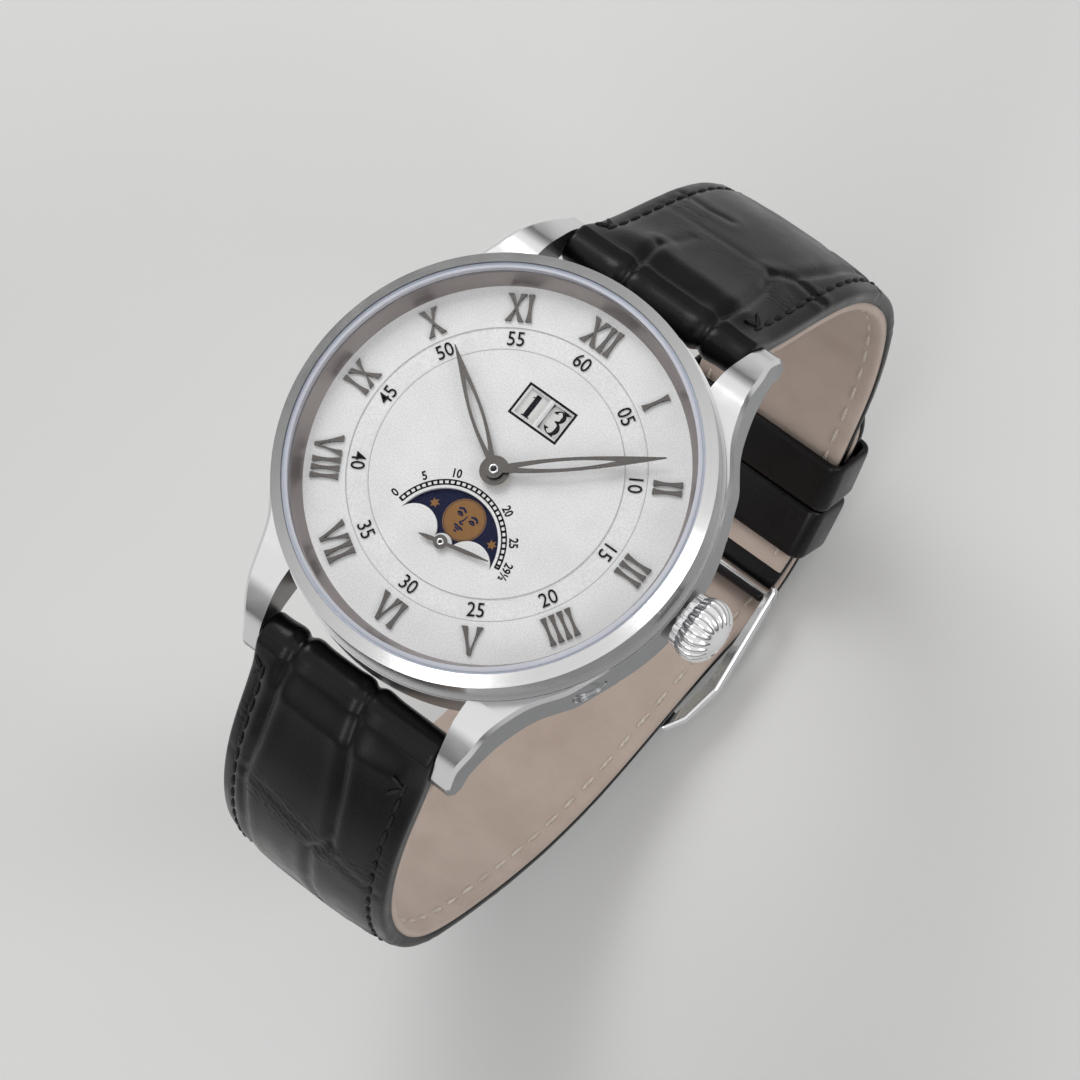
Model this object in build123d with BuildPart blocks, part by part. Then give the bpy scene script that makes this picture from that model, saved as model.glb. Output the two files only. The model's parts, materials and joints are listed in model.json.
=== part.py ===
"""A moon phase wristwatch with a big date, on a closed leather strap.

The origin is the middle of the case back's outer face. +Z leaves through the crystal,
+Y points at twelve and +X at the crown. All sizes are in millimetres.
"""
from build123d import *
from math import atan2, cos, degrees, hypot, pi, radians, sin, sqrt
import os

os.makedirs("parts", exist_ok=True)

# General fits
running_gap = 0.03
seat_gap = 0.02
overrun = 2.0

# Case heights, counted up from the case back's outer face
back_flange = 2.5
case_wall_height = 4.9
collar_height = 1.45
dial_thickness = 0.35
bezel_height = 4.5
crystal_proud = 0.15

# Case radii, stepped in from the flank
flank_radius = 20.9
case_wall = 3.4
foot_inset = 0.5
foot_chamfer = 0.2
foot_step = 0.1
thread_height = 0.6
thread_wall = 0.28
dial_ledge = 0.8
dial_margin = 0.6

# Lugs
lug_gap = 21.0
lug_root_inset = 3.5
lug_tip_length = 2.5
lug_rise = 0.15
lug_tip_drop = 9.6
lug_foot_drop = 11.0
lug_tip_width = 2.1
lug_root_angle = 23.0
lug_chamfer = 0.35
lug_top_shares = ((0.36, 0.08), (0.59, 0.27), (0.79, 0.485), (0.93, 0.73))
lug_foot_shares = ((0.26, 0.02), (0.51, 0.13), (0.7, 0.5))
lug_foot_reach_share = 0.875
lug_plan_shares = (
    (0.0, 0.945), (0.09, 0.862), (0.157, 0.772), (0.241, 0.681), (0.361, 0.591), (0.542, 0.508),
)
lug_bar_drop = 7.0
strap_case_gap = 0.15
bar_tip_radius = 0.4
bar_tip_length = 1.1

# Bezel and crystal
bezel_inset = 0.4
bezel_flange = 0.3
bezel_side_height = 3.8
bezel_flange_width = 0.3
bezel_seat_width = 0.5
bezel_lip_overhang = 0.04
bezel_lip = 0.3
crystal_thickness = 1.25
crystal_chamfer = 0.35
crystal_gasket_width = 0.28
crystal_gasket_height = 0.85
rehaut_foot_width = 0.4
rehaut_top_width = 0.15

# Case back
back_inset = 1.5
back_bevel_width = 2.2
back_bevel_height = 0.8
back_frame_width = 2.8
back_glass_thickness = 0.9
back_lip_width = 0.5
back_floor = 1.5
notch_count = 6
notch_width = 1.6
notch_depth = 0.5
back_gasket_inset = 0.8
back_gasket_width = 0.6
back_gasket_height = 0.35

# Crown, its tube and the stem
crown_drop = 4.4
crown_gap = 0.35
crown_length = 4.4
crown_radius = 3.15
crown_base_radius = 2.75
crown_base_length = 0.6
crown_bulge_radius = 2.04
crown_bulge_reach = 1.81
crown_valley_depth = 0.2
crown_cap_radius = 1.75
crown_cap_reach = 3.55
crown_cap_groove = 0.12
crown_groove_depth = 0.1
rib_count = 20
rib_radius = 0.47
rib_start_angle = -55.0
rib_end_angle = 66.0
base_notch_radius = 0.18
crown_bore = 1.4
crown_bore_depth = 1.5
tube_radius = 1.0
tube_wall = 0.38
tube_proud = 1.1
crown_gasket_length = 0.35
stem_radius = 0.5
stem_inner_end = 8.9

# Corrector pusher, in the flank at four
pusher_angle = -30.0
pusher_head_radius = 1.75
pusher_head_length = 0.9
pusher_ring_radius = 1.05
pusher_ring_width = 0.2
pusher_ring_depth = 0.1
pusher_sink = 0.12
pusher_stem_radius = 0.45
pusher_travel = 0.5
pusher_pocket_depth = 2.4
pusher_wire_radius = 0.11
pusher_coil_radius = 0.85
pusher_coil_turns = 3
pusher_coil_length = 0.9

# Dial
dial_hole = 1.15
seconds_hole = 0.35
track_inset = 4.4
track_width = 2.1
track_depth = 0.08
date_window_width = 2.1
date_window_height = 2.65
date_window_offset = 1.325
date_window_centre = 6.975
date_window_bevel = 0.16
seconds_offset = 8.1
moon_window_radius = 5.15
moon_window_base = 8.0
hump_radius = 2.2
hump_offset = 3.08
hump_drop = 8.37
middle_hump_radius = 0.95

# Raised hour numerals
numeral_height = 2.65
numeral_inset = 2.5
numeral_rise = 0.3
stroke_end_width = 0.58
stroke_waist_width = 0.26
thin_waist_width = 0.14
pointed_foot_width = 0.34
letter_pitch_shares = {"I": 0.294, "V": 0.755, "X": 0.7}
letter_lean_shares = {"I": 0.0, "V": 0.27, "X": 0.225}

# Calendar discs and their plate, counted down from the dial
disc_gap = 0.07
disc_thickness = 0.12
date_tens_orbit = 3.1
date_tens_radius = 4.45
date_units_orbit = 3.9
date_units_radius = 5.0
moon_disc_radius = 5.3
disc_post_radius = 0.4
seconds_tube_radius = 0.5
seconds_arbor_radius = 0.15
calendar_gap = 0.06
calendar_thickness = 0.35

# Hands
hour_hand_angle = 305.0
hour_hand_height = 0.75
hour_hand_length = 12.74
hour_hand_hub = 1.4
hour_hand_belly = 1.35
hour_hand_belly_share = 0.408
hour_hand_opening_shares = (0.149, 0.738)
minute_hand_angle = 50.7
minute_hand_height = 1.1
minute_hand_length = 15.73
minute_hand_hub = 0.85
minute_hand_belly = 1.3
minute_hand_belly_share = 0.394
minute_hand_opening_shares = (0.127, 0.718)
hand_thickness = 0.15
hand_strip = 0.29
hand_tip_width = 0.1
hand_neck_width = 0.75
hub_overlap_share = 0.8
hand_lean_share = 0.1
cap_radius = 0.4
cap_rise = 0.12
seconds_hand_angle = 76.8
seconds_hand_height = 0.42
seconds_hand_length = 4.83
seconds_hand_tail = 2.17
seconds_hand_hub = 0.66
seconds_hand_width = 0.4
seconds_hand_neck_width = 0.16
seconds_hand_belly_share = 0.45
seconds_tail_belly_share = 0.6
seconds_hand_thickness = 0.1

# Toothed wheels
addendum_share = 0.85
dedendum_share = 1.2
root_half_share = 0.29
tip_half_share = 0.11
wheel_thickness = 0.18
arbor_radius = 0.2
crossing_count = 5
crossing_share = 0.62

# Motion work
motion_space = 0.8
motion_level_gap = 0.1
cannon_teeth = 12
minute_wheel_teeth = 36
minute_pinion_teeth = 10
hour_wheel_teeth = 40
cannon_module = 0.125
minute_wheel_direction = 200.0
motion_wheel_thickness = 0.2
cannon_radius = 0.6
cannon_wall = 0.22
hour_tube_gap = 0.04
hour_tube_radius = 0.92
hour_wheel_drop = 0.2
hour_window_share = 0.24
centre_arbor_radius = 0.35

# Movement plate and bridges
movement_radius = 13.0
plate_thickness = 1.2
well_radius = 12.0
well_depth = 2.7
bridge_thickness = 0.8
bridge_slit = 0.12
bridge_split_x = 4.4
bridge_split_high = 0.9
bridge_split_low = -3.3
train_bridge_edge_angle = 240.0
train_bridge_share = 0.57
holder_margin = 0.2
holder_height = 5.0

# Going train
centre_teeth = 80
third_pinion_teeth = 10
third_teeth = 75
fourth_pinion_teeth = 10
fourth_teeth = 80
escape_pinion_teeth = 8
barrel_teeth = 84
centre_pinion_teeth = 12
centre_module = 0.115
third_module = 0.11
fourth_module = 0.085
barrel_module = 0.125
centre_drop = 0.1
third_drop = 1.3
fourth_drop = 1.9
pinion_height = 0.4
centre_pinion_drop = 0.62
barrel_drop = 0.7
barrel_rim_thickness = 0.25
barrel_radius = 4.9
barrel_wall = 0.3
barrel_cover = 0.2
barrel_height = 1.95
barrel_direction = 75.0
barrel_arbor_radius = 0.7
barrel_hub_radius = 1.3
spring_turns = 7
spring_strip = 0.12
spiral_steps = 20

# Escapement and balance
escape_direction = 170.0
balance_direction = 130.0
escape_teeth = 18
escape_radius = 1.9
escape_tooth_depth = 0.42
escape_tip_share = 0.42
escape_club_share = 0.2
escape_back_share = 0.5
escape_window_reach_share = 0.52
escape_window_share = 0.16
escape_thickness = 0.12
escape_drop = 2.3
pallet_reach = 2.25
lever_reach = 2.75
lever_width = 0.36
pallet_thickness = 0.18
pallet_elbow = 1.4
pallet_spread = 78.0
fork_gap = 0.03
fork_slot_depth = 0.25
pivot_radius = 0.12
pallet_jewel_width = 0.16
balance_radius = 3.6
balance_rim = 0.45
balance_thickness = 0.3
balance_drop = 0.3
balance_arm_width = 0.5
roller_radius = 0.7
impulse_pin_radius = 0.1
impulse_pin_inset = 0.05
balance_screw_count = 12
balance_screw_radius = 0.14
hairspring_turns = 6
hairspring_strip = 0.05
hairspring_height = 0.15
hairspring_outer = 2.6
cock_gap = 0.2
cock_thickness = 0.5
cock_width = 3.2

# Winding work
crown_wheel_reach = 8.3
crown_wheel_teeth = 44
ratchet_teeth = 61
contrate_teeth = 32
winding_pinion_teeth = 16
winding_pinion_radius = 1.1
winding_pinion_length = 0.7
sliding_pinion_length = 0.9
sliding_pinion_radius = 0.95
contrate_radius = 2.2
contrate_wall = 0.5
contrate_slot = 0.18
winding_wheel_thickness = 0.24
winding_wheel_gap = 0.06
click_length = 2.2
click_width = 0.7
click_direction = 160.0
click_swing = 35.0
click_stand_share = 0.9

# Jewels and screws
jewel_radius = 0.5
jewel_thickness = 0.25
screw_radius = 0.28
screw_head_radius = 0.42
screw_head_height = 0.2
screw_slot = 0.12
screw_circle = 12.45
bridge_screw_angles = (25.0, 90.0, 150.0, 262.0, 300.0, 335.0)

# Winding rotor
rotor_radius = 12.2
rotor_weight_width = 2.4
rotor_weight_height = 0.75
rotor_plate_height = 0.3
rotor_gap = 0.9
rotor_hub_radius = 1.7
rotor_post_radius = 0.9
rotor_neck_radius = 0.5
rotor_step = 0.3
rotor_rim_lift = 0.1
rotor_window_reach = 6.4
rotor_window_angles = (215.0, 270.0, 325.0)
rotor_flange_radius = 1.6
rotor_cap_radius = 1.35
rotor_cap_height = 0.15
rotor_window_radius = 1.7

# Strap. Seam points are seen from the crown side: outward in shares of the spring bar's reach, and
# down in shares of the way from the spring bar to the lowest point of the loop
strap_drop = 75.4
strap_lug_width = 20.7
strap_buckle_width = 18.0
lining_thickness = 1.0
leather_edge = 1.4
leather_crown = 2.9
leather_tail = 1.1
stitch_margin = 1.9
strap_end_radius = 1.85
strap_clearance = 0.3
strap_taper_depth = 70.0
lining_tail = 0.8
keeper_gap = 0.3
upper_fade_share = 0.64
lower_fade_share = 0.5
shoulder_share = 0.45
crown_least = 0.04
spring_bar_radius = 0.75
upper_seam_shares = (
    (1.0131, 0), (1.1965, 0.0789), (1.345, 0.136), (1.4803, 0.1901), (1.6332, 0.2661),
    (1.7555, 0.3787), (1.7948, 0.4868), (1.7555, 0.5702), (1.6201, 0.6827), (1.4148, 0.7763),
    (1.1878, 0.867), (0.9782, 0.9269), (0.7555, 0.9547),
)
lower_seam_shares = (
    (1.0131, 0), (1.1616, 0.0614), (1.3275, 0.1228), (1.4847, 0.2047), (1.5983, 0.3143),
    (1.6245, 0.4167), (1.5633, 0.5395), (1.3319, 0.6667), (1.1354, 0.7412), (0.8428, 0.8275),
    (0.4978, 0.8874), (0.1135, 0.9196), (-0.2183, 0.9459), (-0.5371, 0.9825), (-0.7686, 1),
)
tail_follow_shares = (0.94, 0.87, 0.77, 0.66)
station_shares = (0.0, 0.05, 0.11, 0.18, 0.26, 0.34, 0.42, 0.5, 0.58, 0.66, 0.74, 0.82, 0.9, 0.95, 1.0)
hole_radius = 0.8
hole_count = 3
hole_first_share = 0.62
hole_step_share = 0.05

# Keepers
keeper_length = 6.4
keeper_wall = 0.9
keeper_clearance = 0.4
keeper_fixed_reach = 7.9
keeper_free_reach = 14.8

# Buckle
buckle_bar_radius = 0.7
buckle_bar_inset = 0.9
buckle_loop_radius = 1.2
buckle_length = 18.6
buckle_thickness = 1.7
buckle_hinge_width = 20.2
buckle_wide_width = 23.0
buckle_wide_reach = 11.6
buckle_shoulder_width = 21.4
buckle_end_width = 18.6
buckle_end_bar = 2.4
buckle_corner_radius = 0.9
buckle_rounding = 0.55
buckle_inner_flare = 0.7
buckle_tilt = 2.0
tongue_width = 1.8
tongue_thickness = 1.0
tongue_ring_radius = 1.3
tongue_drop = 4.0
tongue_back_share = 0.6
tongue_knee_reach = 2.2
tongue_tip_drop = 1.65
tongue_slot_length = 4.9
tongue_slot_width = 2.3

# Heights worked out from the stack
case_bottom = back_flange
case_top = case_bottom + case_wall_height
dial_bottom = case_top + collar_height
dial_top = dial_bottom + dial_thickness
bezel_top = case_top + bezel_height
crystal_top = bezel_top + crystal_proud
crystal_bottom = crystal_top - crystal_thickness
tens_top = dial_bottom - disc_gap
units_top = tens_top - disc_thickness - running_gap
calendar_top = units_top - disc_thickness - calendar_gap
calendar_bottom = calendar_top - calendar_thickness
plate_top = calendar_bottom - motion_space
plate_bottom = plate_top - plate_thickness
bridge_top = plate_bottom - well_depth
bridge_bottom = bridge_top - bridge_thickness
crown_height = dial_top - crown_drop
bar_height = dial_top - lug_bar_drop

# Radii worked out from the flank inwards
foot_radius = flank_radius - foot_inset
bezel_radius = flank_radius - bezel_inset
dial_seat_radius = flank_radius - case_wall
dial_radius = dial_seat_radius + dial_ledge
collar_radius = dial_radius + dial_margin
bezel_bore = collar_radius + bezel_seat_width
bezel_lip_bore = collar_radius - bezel_lip_overhang
crystal_radius = bezel_bore - crystal_gasket_width
rehaut_foot_radius = dial_radius - rehaut_foot_width
back_radius = flank_radius - back_inset
back_face_radius = back_radius - back_bevel_width
back_gasket_radius = back_radius - back_gasket_inset
back_glass_radius = dial_seat_radius - back_frame_width
track_outer = dial_radius - track_inset
track_inner = track_outer - track_width
numeral_radius = dial_radius - numeral_inset

# Reaches of the lugs and their spring bars along the strap
lug_root_reach = flank_radius - lug_root_inset
lug_bar_reach = flank_radius + strap_end_radius + strap_case_gap
lug_reach = lug_bar_reach + lug_tip_length

# Places of the wheels in plan
centre = (0.0, 0.0)
seconds_centre = (0.0, -seconds_offset)
centre_to_third = centre_module * (centre_teeth + third_pinion_teeth) / 2
third_to_fourth = third_module * (third_teeth + fourth_pinion_teeth) / 2
fourth_to_escape = fourth_module * (fourth_teeth + escape_pinion_teeth) / 2
third_y = -(centre_to_third**2 - third_to_fourth**2 + seconds_offset**2) / (2 * seconds_offset)
third_centre = (sqrt(centre_to_third**2 - third_y**2), third_y)


def moved(start, distance, direction):
    """The point at a distance from start, in a direction in degrees."""
    return (
        start[0] + distance * cos(radians(direction)),
        start[1] + distance * sin(radians(direction)),
    )


def direction_of(start, end):
    """The direction from one point to another, in degrees."""
    return degrees(atan2(end[1] - start[1], end[0] - start[0]))


def gap_phase(start, end, teeth):
    """The phase that turns a gap between two teeth towards the mating wheel."""
    return direction_of(start, end) + 180 / teeth


escape_centre = moved(seconds_centre, fourth_to_escape, escape_direction)
pallet_centre = moved(escape_centre, pallet_reach, balance_direction)
balance_centre = moved(pallet_centre, lever_reach, balance_direction)
barrel_distance = barrel_module * (barrel_teeth + centre_pinion_teeth) / 2
barrel_centre = moved(centre, barrel_distance, barrel_direction)
crown_wheel_centre = (crown_wheel_reach, 0.0)
winding_distance = hypot(barrel_centre[0] - crown_wheel_centre[0], barrel_centre[1])
winding_module = 2 * winding_distance / (ratchet_teeth + crown_wheel_teeth)
minute_wheel_distance = cannon_module * (cannon_teeth + minute_wheel_teeth) / 2
minute_wheel_centre = moved(centre, minute_wheel_distance, minute_wheel_direction)
hour_module = 2 * minute_wheel_distance / (minute_pinion_teeth + hour_wheel_teeth)
tens_centre = (-date_window_offset - date_tens_orbit, date_window_centre)
units_centre = (date_window_offset + date_units_orbit, date_window_centre)


def turned(outline, centre=(0, 0)):
    """A turned piece: a closed outline of (radius, height) points, spun about a vertical axis."""
    with BuildPart() as piece:
        with BuildSketch(Plane((*centre, 0), x_dir=(1, 0, 0), z_dir=(0, -1, 0))):
            with BuildLine():
                Polyline(*outline, close=True)
            make_face()
        revolve(axis=Axis((*centre, 0), (0, 0, 1)))
    return piece


def ring(outer, inner, bottom, height, centre=(0, 0)):
    """A flat ring, or a disc where inner is zero, standing on the height called bottom."""
    with BuildPart() as piece:
        with BuildSketch(Plane((*centre, bottom))):
            Circle(outer)
            if inner > 0:
                Circle(inner, mode=Mode.SUBTRACT)
        extrude(amount=height)
    return piece


def tooth_outline(teeth, module, phase):
    """Corners of a wheel with straight-sided teeth. One tooth's middle points at phase, in degrees."""
    tip = module * teeth / 2 + addendum_share * module
    root = module * teeth / 2 - dedendum_share * module
    corners = (
        (root, -root_half_share), (tip, -tip_half_share), (tip, tip_half_share), (root, root_half_share),
    )
    outline = []
    for index in range(teeth):
        for radius, share in corners:
            angle = radians(phase + (index + share) * 360 / teeth)
            outline.append((radius * cos(angle), radius * sin(angle)))
    return outline


def wheel_on_arbor(place, wheel, pinion, arbor):
    """A crossed-out wheel and its pinion, both fast on one arbor.

    wheel and pinion are (teeth, module, phase, top, height); arbor is (radius, bottom, top).
    """
    teeth, module, phase, top, height = wheel
    leaves, leaf_module, leaf_phase, leaf_top, leaf_height = pinion
    radius, low, high = arbor
    rim = module * teeth / 2 - (dedendum_share + 1 / addendum_share) * module
    hub = leaf_module * leaves / 2 + leaf_module
    window = (rim - hub) / 2 * crossing_share
    with BuildPart() as piece:
        with BuildSketch(Plane((*place, top))):
            Polygon(*tooth_outline(teeth, module, phase))
            with PolarLocations((rim + hub) / 2, crossing_count):
                Circle(window, mode=Mode.SUBTRACT)
        extrude(amount=-height)
        with BuildSketch(Plane((*place, leaf_top))):
            Polygon(*tooth_outline(leaves, leaf_module, leaf_phase))
        extrude(amount=-leaf_height)
        with BuildSketch(Plane((*place, low))):
            Circle(radius)
        extrude(amount=high - low)
    return piece


def spiral_band(place, inner, outer, turns, strip, bottom, height):
    """A flat spiral spring of constant strip, wound out from inner to outer."""
    steps = turns * spiral_steps
    near, far = [], []
    for index in range(steps + 1):
        angle = 2 * pi * index / spiral_steps
        radius = inner + (outer - strip - inner) * index / steps
        near.append((radius * cos(angle), radius * sin(angle)))
        far.append(((radius + strip) * cos(angle), (radius + strip) * sin(angle)))
    with BuildPart() as piece:
        with BuildSketch(Plane((*place, bottom))):
            Polygon(*near, *reversed(far))
        extrude(amount=height)
    return piece


# Middle of the case, with its four lugs
def lug():
    """One horn: a side outline and a plan outline, each extruded, and what the two share."""
    inner = lug_gap / 2
    root = case_top + lug_rise
    fall = root - (dial_top - lug_tip_drop)
    foot = dial_top - lug_foot_drop
    span = lug_reach - lug_root_reach
    width = flank_radius - inner - lug_tip_width
    meeting = moved(centre, flank_radius, lug_root_angle)
    with BuildPart() as horn:
        with BuildSketch(Plane.YZ.offset(inner)):
            with BuildLine():
                top = Spline(
                    (lug_root_reach, root),
                    *[(lug_root_reach + span * out, root - fall * down) for out, down in lug_top_shares],
                    (lug_reach, root - fall),
                    tangents=((1, 0), (0, -1)),
                )
                under = Spline(
                    (lug_root_reach, case_bottom),
                    *[(lug_root_reach + span * out, case_bottom - (case_bottom - foot) * down)
                      for out, down in lug_foot_shares],
                    (lug_root_reach + span * lug_foot_reach_share, foot),
                    tangents=((1, 0), (1, -1)),
                )
                Spline(top @ 1, under @ 1, tangents=((0, -1), (-1, 0)))
                Polyline(top @ 0, (meeting[1], root), (meeting[1], case_bottom), under @ 0)
            make_face()
        extrude(amount=flank_radius)
        with BuildSketch(Plane.XY.offset(foot - overrun)):
            with BuildLine():
                flank = Spline(
                    (inner + lug_tip_width, lug_reach + overrun),
                    *[(inner + lug_tip_width + width * out, lug_reach * up) for out, up in lug_plan_shares],
                    meeting,
                    tangents=((0, -1), (meeting[1], -meeting[0])),
                )
                Polyline(flank @ 1, (inner, meeting[1]), (inner, lug_reach + overrun), flank @ 0)
            make_face()
        extrude(amount=root - foot + overrun * 2, mode=Mode.INTERSECT)
        rim = horn.edges().filter_by(
            lambda edge: edge.center().Y > lug_root_reach and edge.length > span / 2
        )
        outer_rim = rim.filter_by(lambda edge: edge.center().X > inner and edge.center().Z > case_bottom)
        chamfer(outer_rim, length=lug_chamfer)
    return horn


with BuildPart() as case_middle:
    with BuildSketch(Plane.XZ):
        with BuildLine():
            Polyline(
                (0, case_bottom), (foot_radius, case_bottom), (flank_radius, case_bottom + foot_chamfer),
                (flank_radius, case_top - foot_step), (bezel_radius, case_top - foot_step),
                (bezel_radius, case_top), (collar_radius, case_top), (collar_radius, dial_bottom),
                (0, dial_bottom), close=True,
            )
        make_face()
    revolve(axis=Axis.Z)
    horn = lug().part
    for horn_side in (horn, horn.mirror(Plane.YZ)):
        add(horn_side)
        add(horn_side.mirror(Plane.XZ))
    # Room for the bezel's foot inside the lug roots
    with BuildSketch(Plane.XY.offset(case_top)):
        Circle(bezel_radius + bezel_flange_width + seat_gap)
        Circle(collar_radius, mode=Mode.SUBTRACT)
    extrude(amount=overrun, mode=Mode.SUBTRACT)
    with BuildSketch(Plane.XY.offset(case_bottom)):
        Circle(dial_seat_radius)
    extrude(amount=dial_bottom - case_bottom, mode=Mode.SUBTRACT)
    # Holes for the ends of the spring bars
    with BuildSketch(Plane.YZ.offset(-lug_gap / 2 - bar_tip_length)):
        with Locations((lug_bar_reach, bar_height), (-lug_bar_reach, bar_height)):
            Circle(bar_tip_radius + seat_gap)
    extrude(amount=lug_gap + bar_tip_length * 2, mode=Mode.SUBTRACT)
    # Hole for the crown's tube
    with BuildSketch(Plane.YZ.offset(dial_seat_radius - overrun)):
        with Locations((0, crown_height)):
            Circle(tube_radius)
    extrude(amount=flank_radius, mode=Mode.SUBTRACT)
    # Pocket and stem hole of the corrector pusher
    with BuildSketch(Plane(
        (*moved(centre, flank_radius - pusher_pocket_depth, pusher_angle), crown_height),
        x_dir=(0, 0, 1), z_dir=(*moved(centre, 1, pusher_angle), 0),
    )):
        Circle(pusher_head_radius + running_gap)
    extrude(amount=pusher_pocket_depth + overrun, mode=Mode.SUBTRACT)
    with BuildSketch(Plane(
        (*moved(centre, dial_seat_radius - overrun, pusher_angle), crown_height),
        x_dir=(0, 0, 1), z_dir=(*moved(centre, 1, pusher_angle), 0),
    )):
        Circle(pusher_stem_radius + running_gap)
    extrude(amount=flank_radius - pusher_pocket_depth - dial_seat_radius + overrun * 2, mode=Mode.SUBTRACT)
case_middle.part.label = "case_middle"
export_step(case_middle.part, "parts/case_middle.step")


# Bezel, crystal and what seals them
bezel = turned((
    (collar_radius + seat_gap, case_top), (bezel_radius + bezel_flange_width, case_top),
    (bezel_radius + bezel_flange_width, case_top + bezel_flange), (bezel_radius, case_top + bezel_flange),
    (bezel_radius, case_top + bezel_side_height), (bezel_bore, bezel_top), (bezel_bore, crystal_bottom),
    (bezel_lip_bore, crystal_bottom), (bezel_lip_bore, crystal_bottom - bezel_lip),
    (collar_radius + seat_gap, crystal_bottom - bezel_lip),
))
bezel.part.label = "bezel"
export_step(bezel.part, "parts/bezel.step")

crystal = turned((
    (0, crystal_bottom), (crystal_radius, crystal_bottom), (crystal_radius, crystal_top - crystal_chamfer),
    (crystal_radius - crystal_chamfer, crystal_top), (0, crystal_top),
))
crystal.part.label = "crystal"
export_step(crystal.part, "parts/crystal.step")

crystal_gasket = ring(
    bezel_bore - seat_gap, crystal_radius + seat_gap / 2, crystal_bottom, crystal_gasket_height,
)
crystal_gasket.part.label = "crystal_gasket"
export_step(crystal_gasket.part, "parts/crystal_gasket.step")

rehaut_outer = bezel_lip_bore - seat_gap
rehaut_ring = turned((
    (rehaut_foot_radius, dial_top), (rehaut_outer, dial_top), (rehaut_outer, crystal_bottom - seat_gap),
    (rehaut_outer - rehaut_top_width, crystal_bottom - seat_gap),
))
rehaut_ring.part.label = "rehaut_ring"
export_step(rehaut_ring.part, "parts/rehaut_ring.step")


# Case back: a screwed ring, its window and its gasket
thread_radius = dial_seat_radius - seat_gap * 2
back_seat = back_glass_radius + seat_gap
with BuildPart() as case_back_ring:
    add(turned((
        (back_seat, 0), (back_face_radius, 0), (back_radius, back_bevel_height), (back_radius, case_bottom),
        (thread_radius, case_bottom), (thread_radius, case_bottom + thread_height),
        (thread_radius - thread_wall, case_bottom + thread_height),
        (thread_radius - thread_wall, back_floor),
        (back_glass_radius - back_lip_width, back_floor),
        (back_glass_radius - back_lip_width, back_glass_thickness), (back_seat, back_glass_thickness),
    )).part)
    with BuildSketch(Plane.XY):
        with PolarLocations(back_radius, notch_count):
            Rectangle(notch_depth * 4, notch_width)
    extrude(amount=back_bevel_height, mode=Mode.SUBTRACT)
    with BuildSketch(Plane.XY.offset(case_bottom)):
        Circle(back_gasket_radius + seat_gap)
        Circle(back_gasket_radius - back_gasket_width - seat_gap, mode=Mode.SUBTRACT)
    extrude(amount=-back_gasket_height, mode=Mode.SUBTRACT)
case_back_ring.part.label = "case_back_ring"
export_step(case_back_ring.part, "parts/case_back_ring.step")

case_back_glass = ring(back_glass_radius, 0, 0, back_glass_thickness)
case_back_glass.part.label = "case_back_glass"
export_step(case_back_glass.part, "parts/case_back_glass.step")

case_back_gasket = ring(
    back_gasket_radius, back_gasket_radius - back_gasket_width, case_bottom - back_gasket_height,
    back_gasket_height,
)
case_back_gasket.part.label = "case_back_gasket"
export_step(case_back_gasket.part, "parts/case_back_gasket.step")


# Crown, its tube, gasket and stem, all on one axis along +X
def along_x(outline, plane_height):
    """A turned piece about an axis along X, from (distance along X, radius) points."""
    with BuildPart() as piece:
        with BuildSketch(Plane((0, 0, plane_height), x_dir=(1, 0, 0), z_dir=(0, -1, 0))):
            with BuildLine():
                Polyline(*outline, close=True)
            make_face()
        revolve(axis=Axis((0, 0, plane_height), (1, 0, 0)))
    return piece


crown_start = flank_radius + crown_gap
crown_end = crown_start + crown_length - crown_gap
tube_end = flank_radius + tube_proud + seat_gap
crown_tube = along_x((
    (dial_seat_radius, tube_radius - tube_wall), (dial_seat_radius, tube_radius),
    (tube_end, tube_radius), (tube_end, tube_radius - tube_wall),
), crown_height)
crown_tube.part.label = "crown_tube"
export_step(crown_tube.part, "parts/crown_tube.step")

bulge_centre = (crown_start + crown_bulge_reach, crown_radius - crown_bulge_radius)
valley_radius = crown_bulge_radius - crown_valley_depth
rib_path_radius = crown_bulge_radius - rib_radius


def valley_point(reach):
    """The point at the bottom of the valleys between the ribs, as (distance along X, radius)."""
    along = reach - crown_bulge_reach
    return (crown_start + reach, bulge_centre[1] + sqrt(valley_radius**2 - along**2))


with BuildPart() as crown_rib:
    # One rib: a round bar bent over the bulge of the crown, in the plane of the crown's axis
    lean = radians(rib_start_angle)
    with BuildSketch(Plane(
        (
            bulge_centre[0] + rib_path_radius * sin(lean), 0,
            crown_height + bulge_centre[1] + rib_path_radius * cos(lean),
        ),
        x_dir=(0, 1, 0), z_dir=(cos(lean), 0, -sin(lean)),
    )):
        Circle(rib_radius)
    revolve(
        axis=Axis((bulge_centre[0], 0, crown_height + bulge_centre[1]), (0, 1, 0)),
        revolution_arc=rib_end_angle - rib_start_angle,
    )

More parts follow.
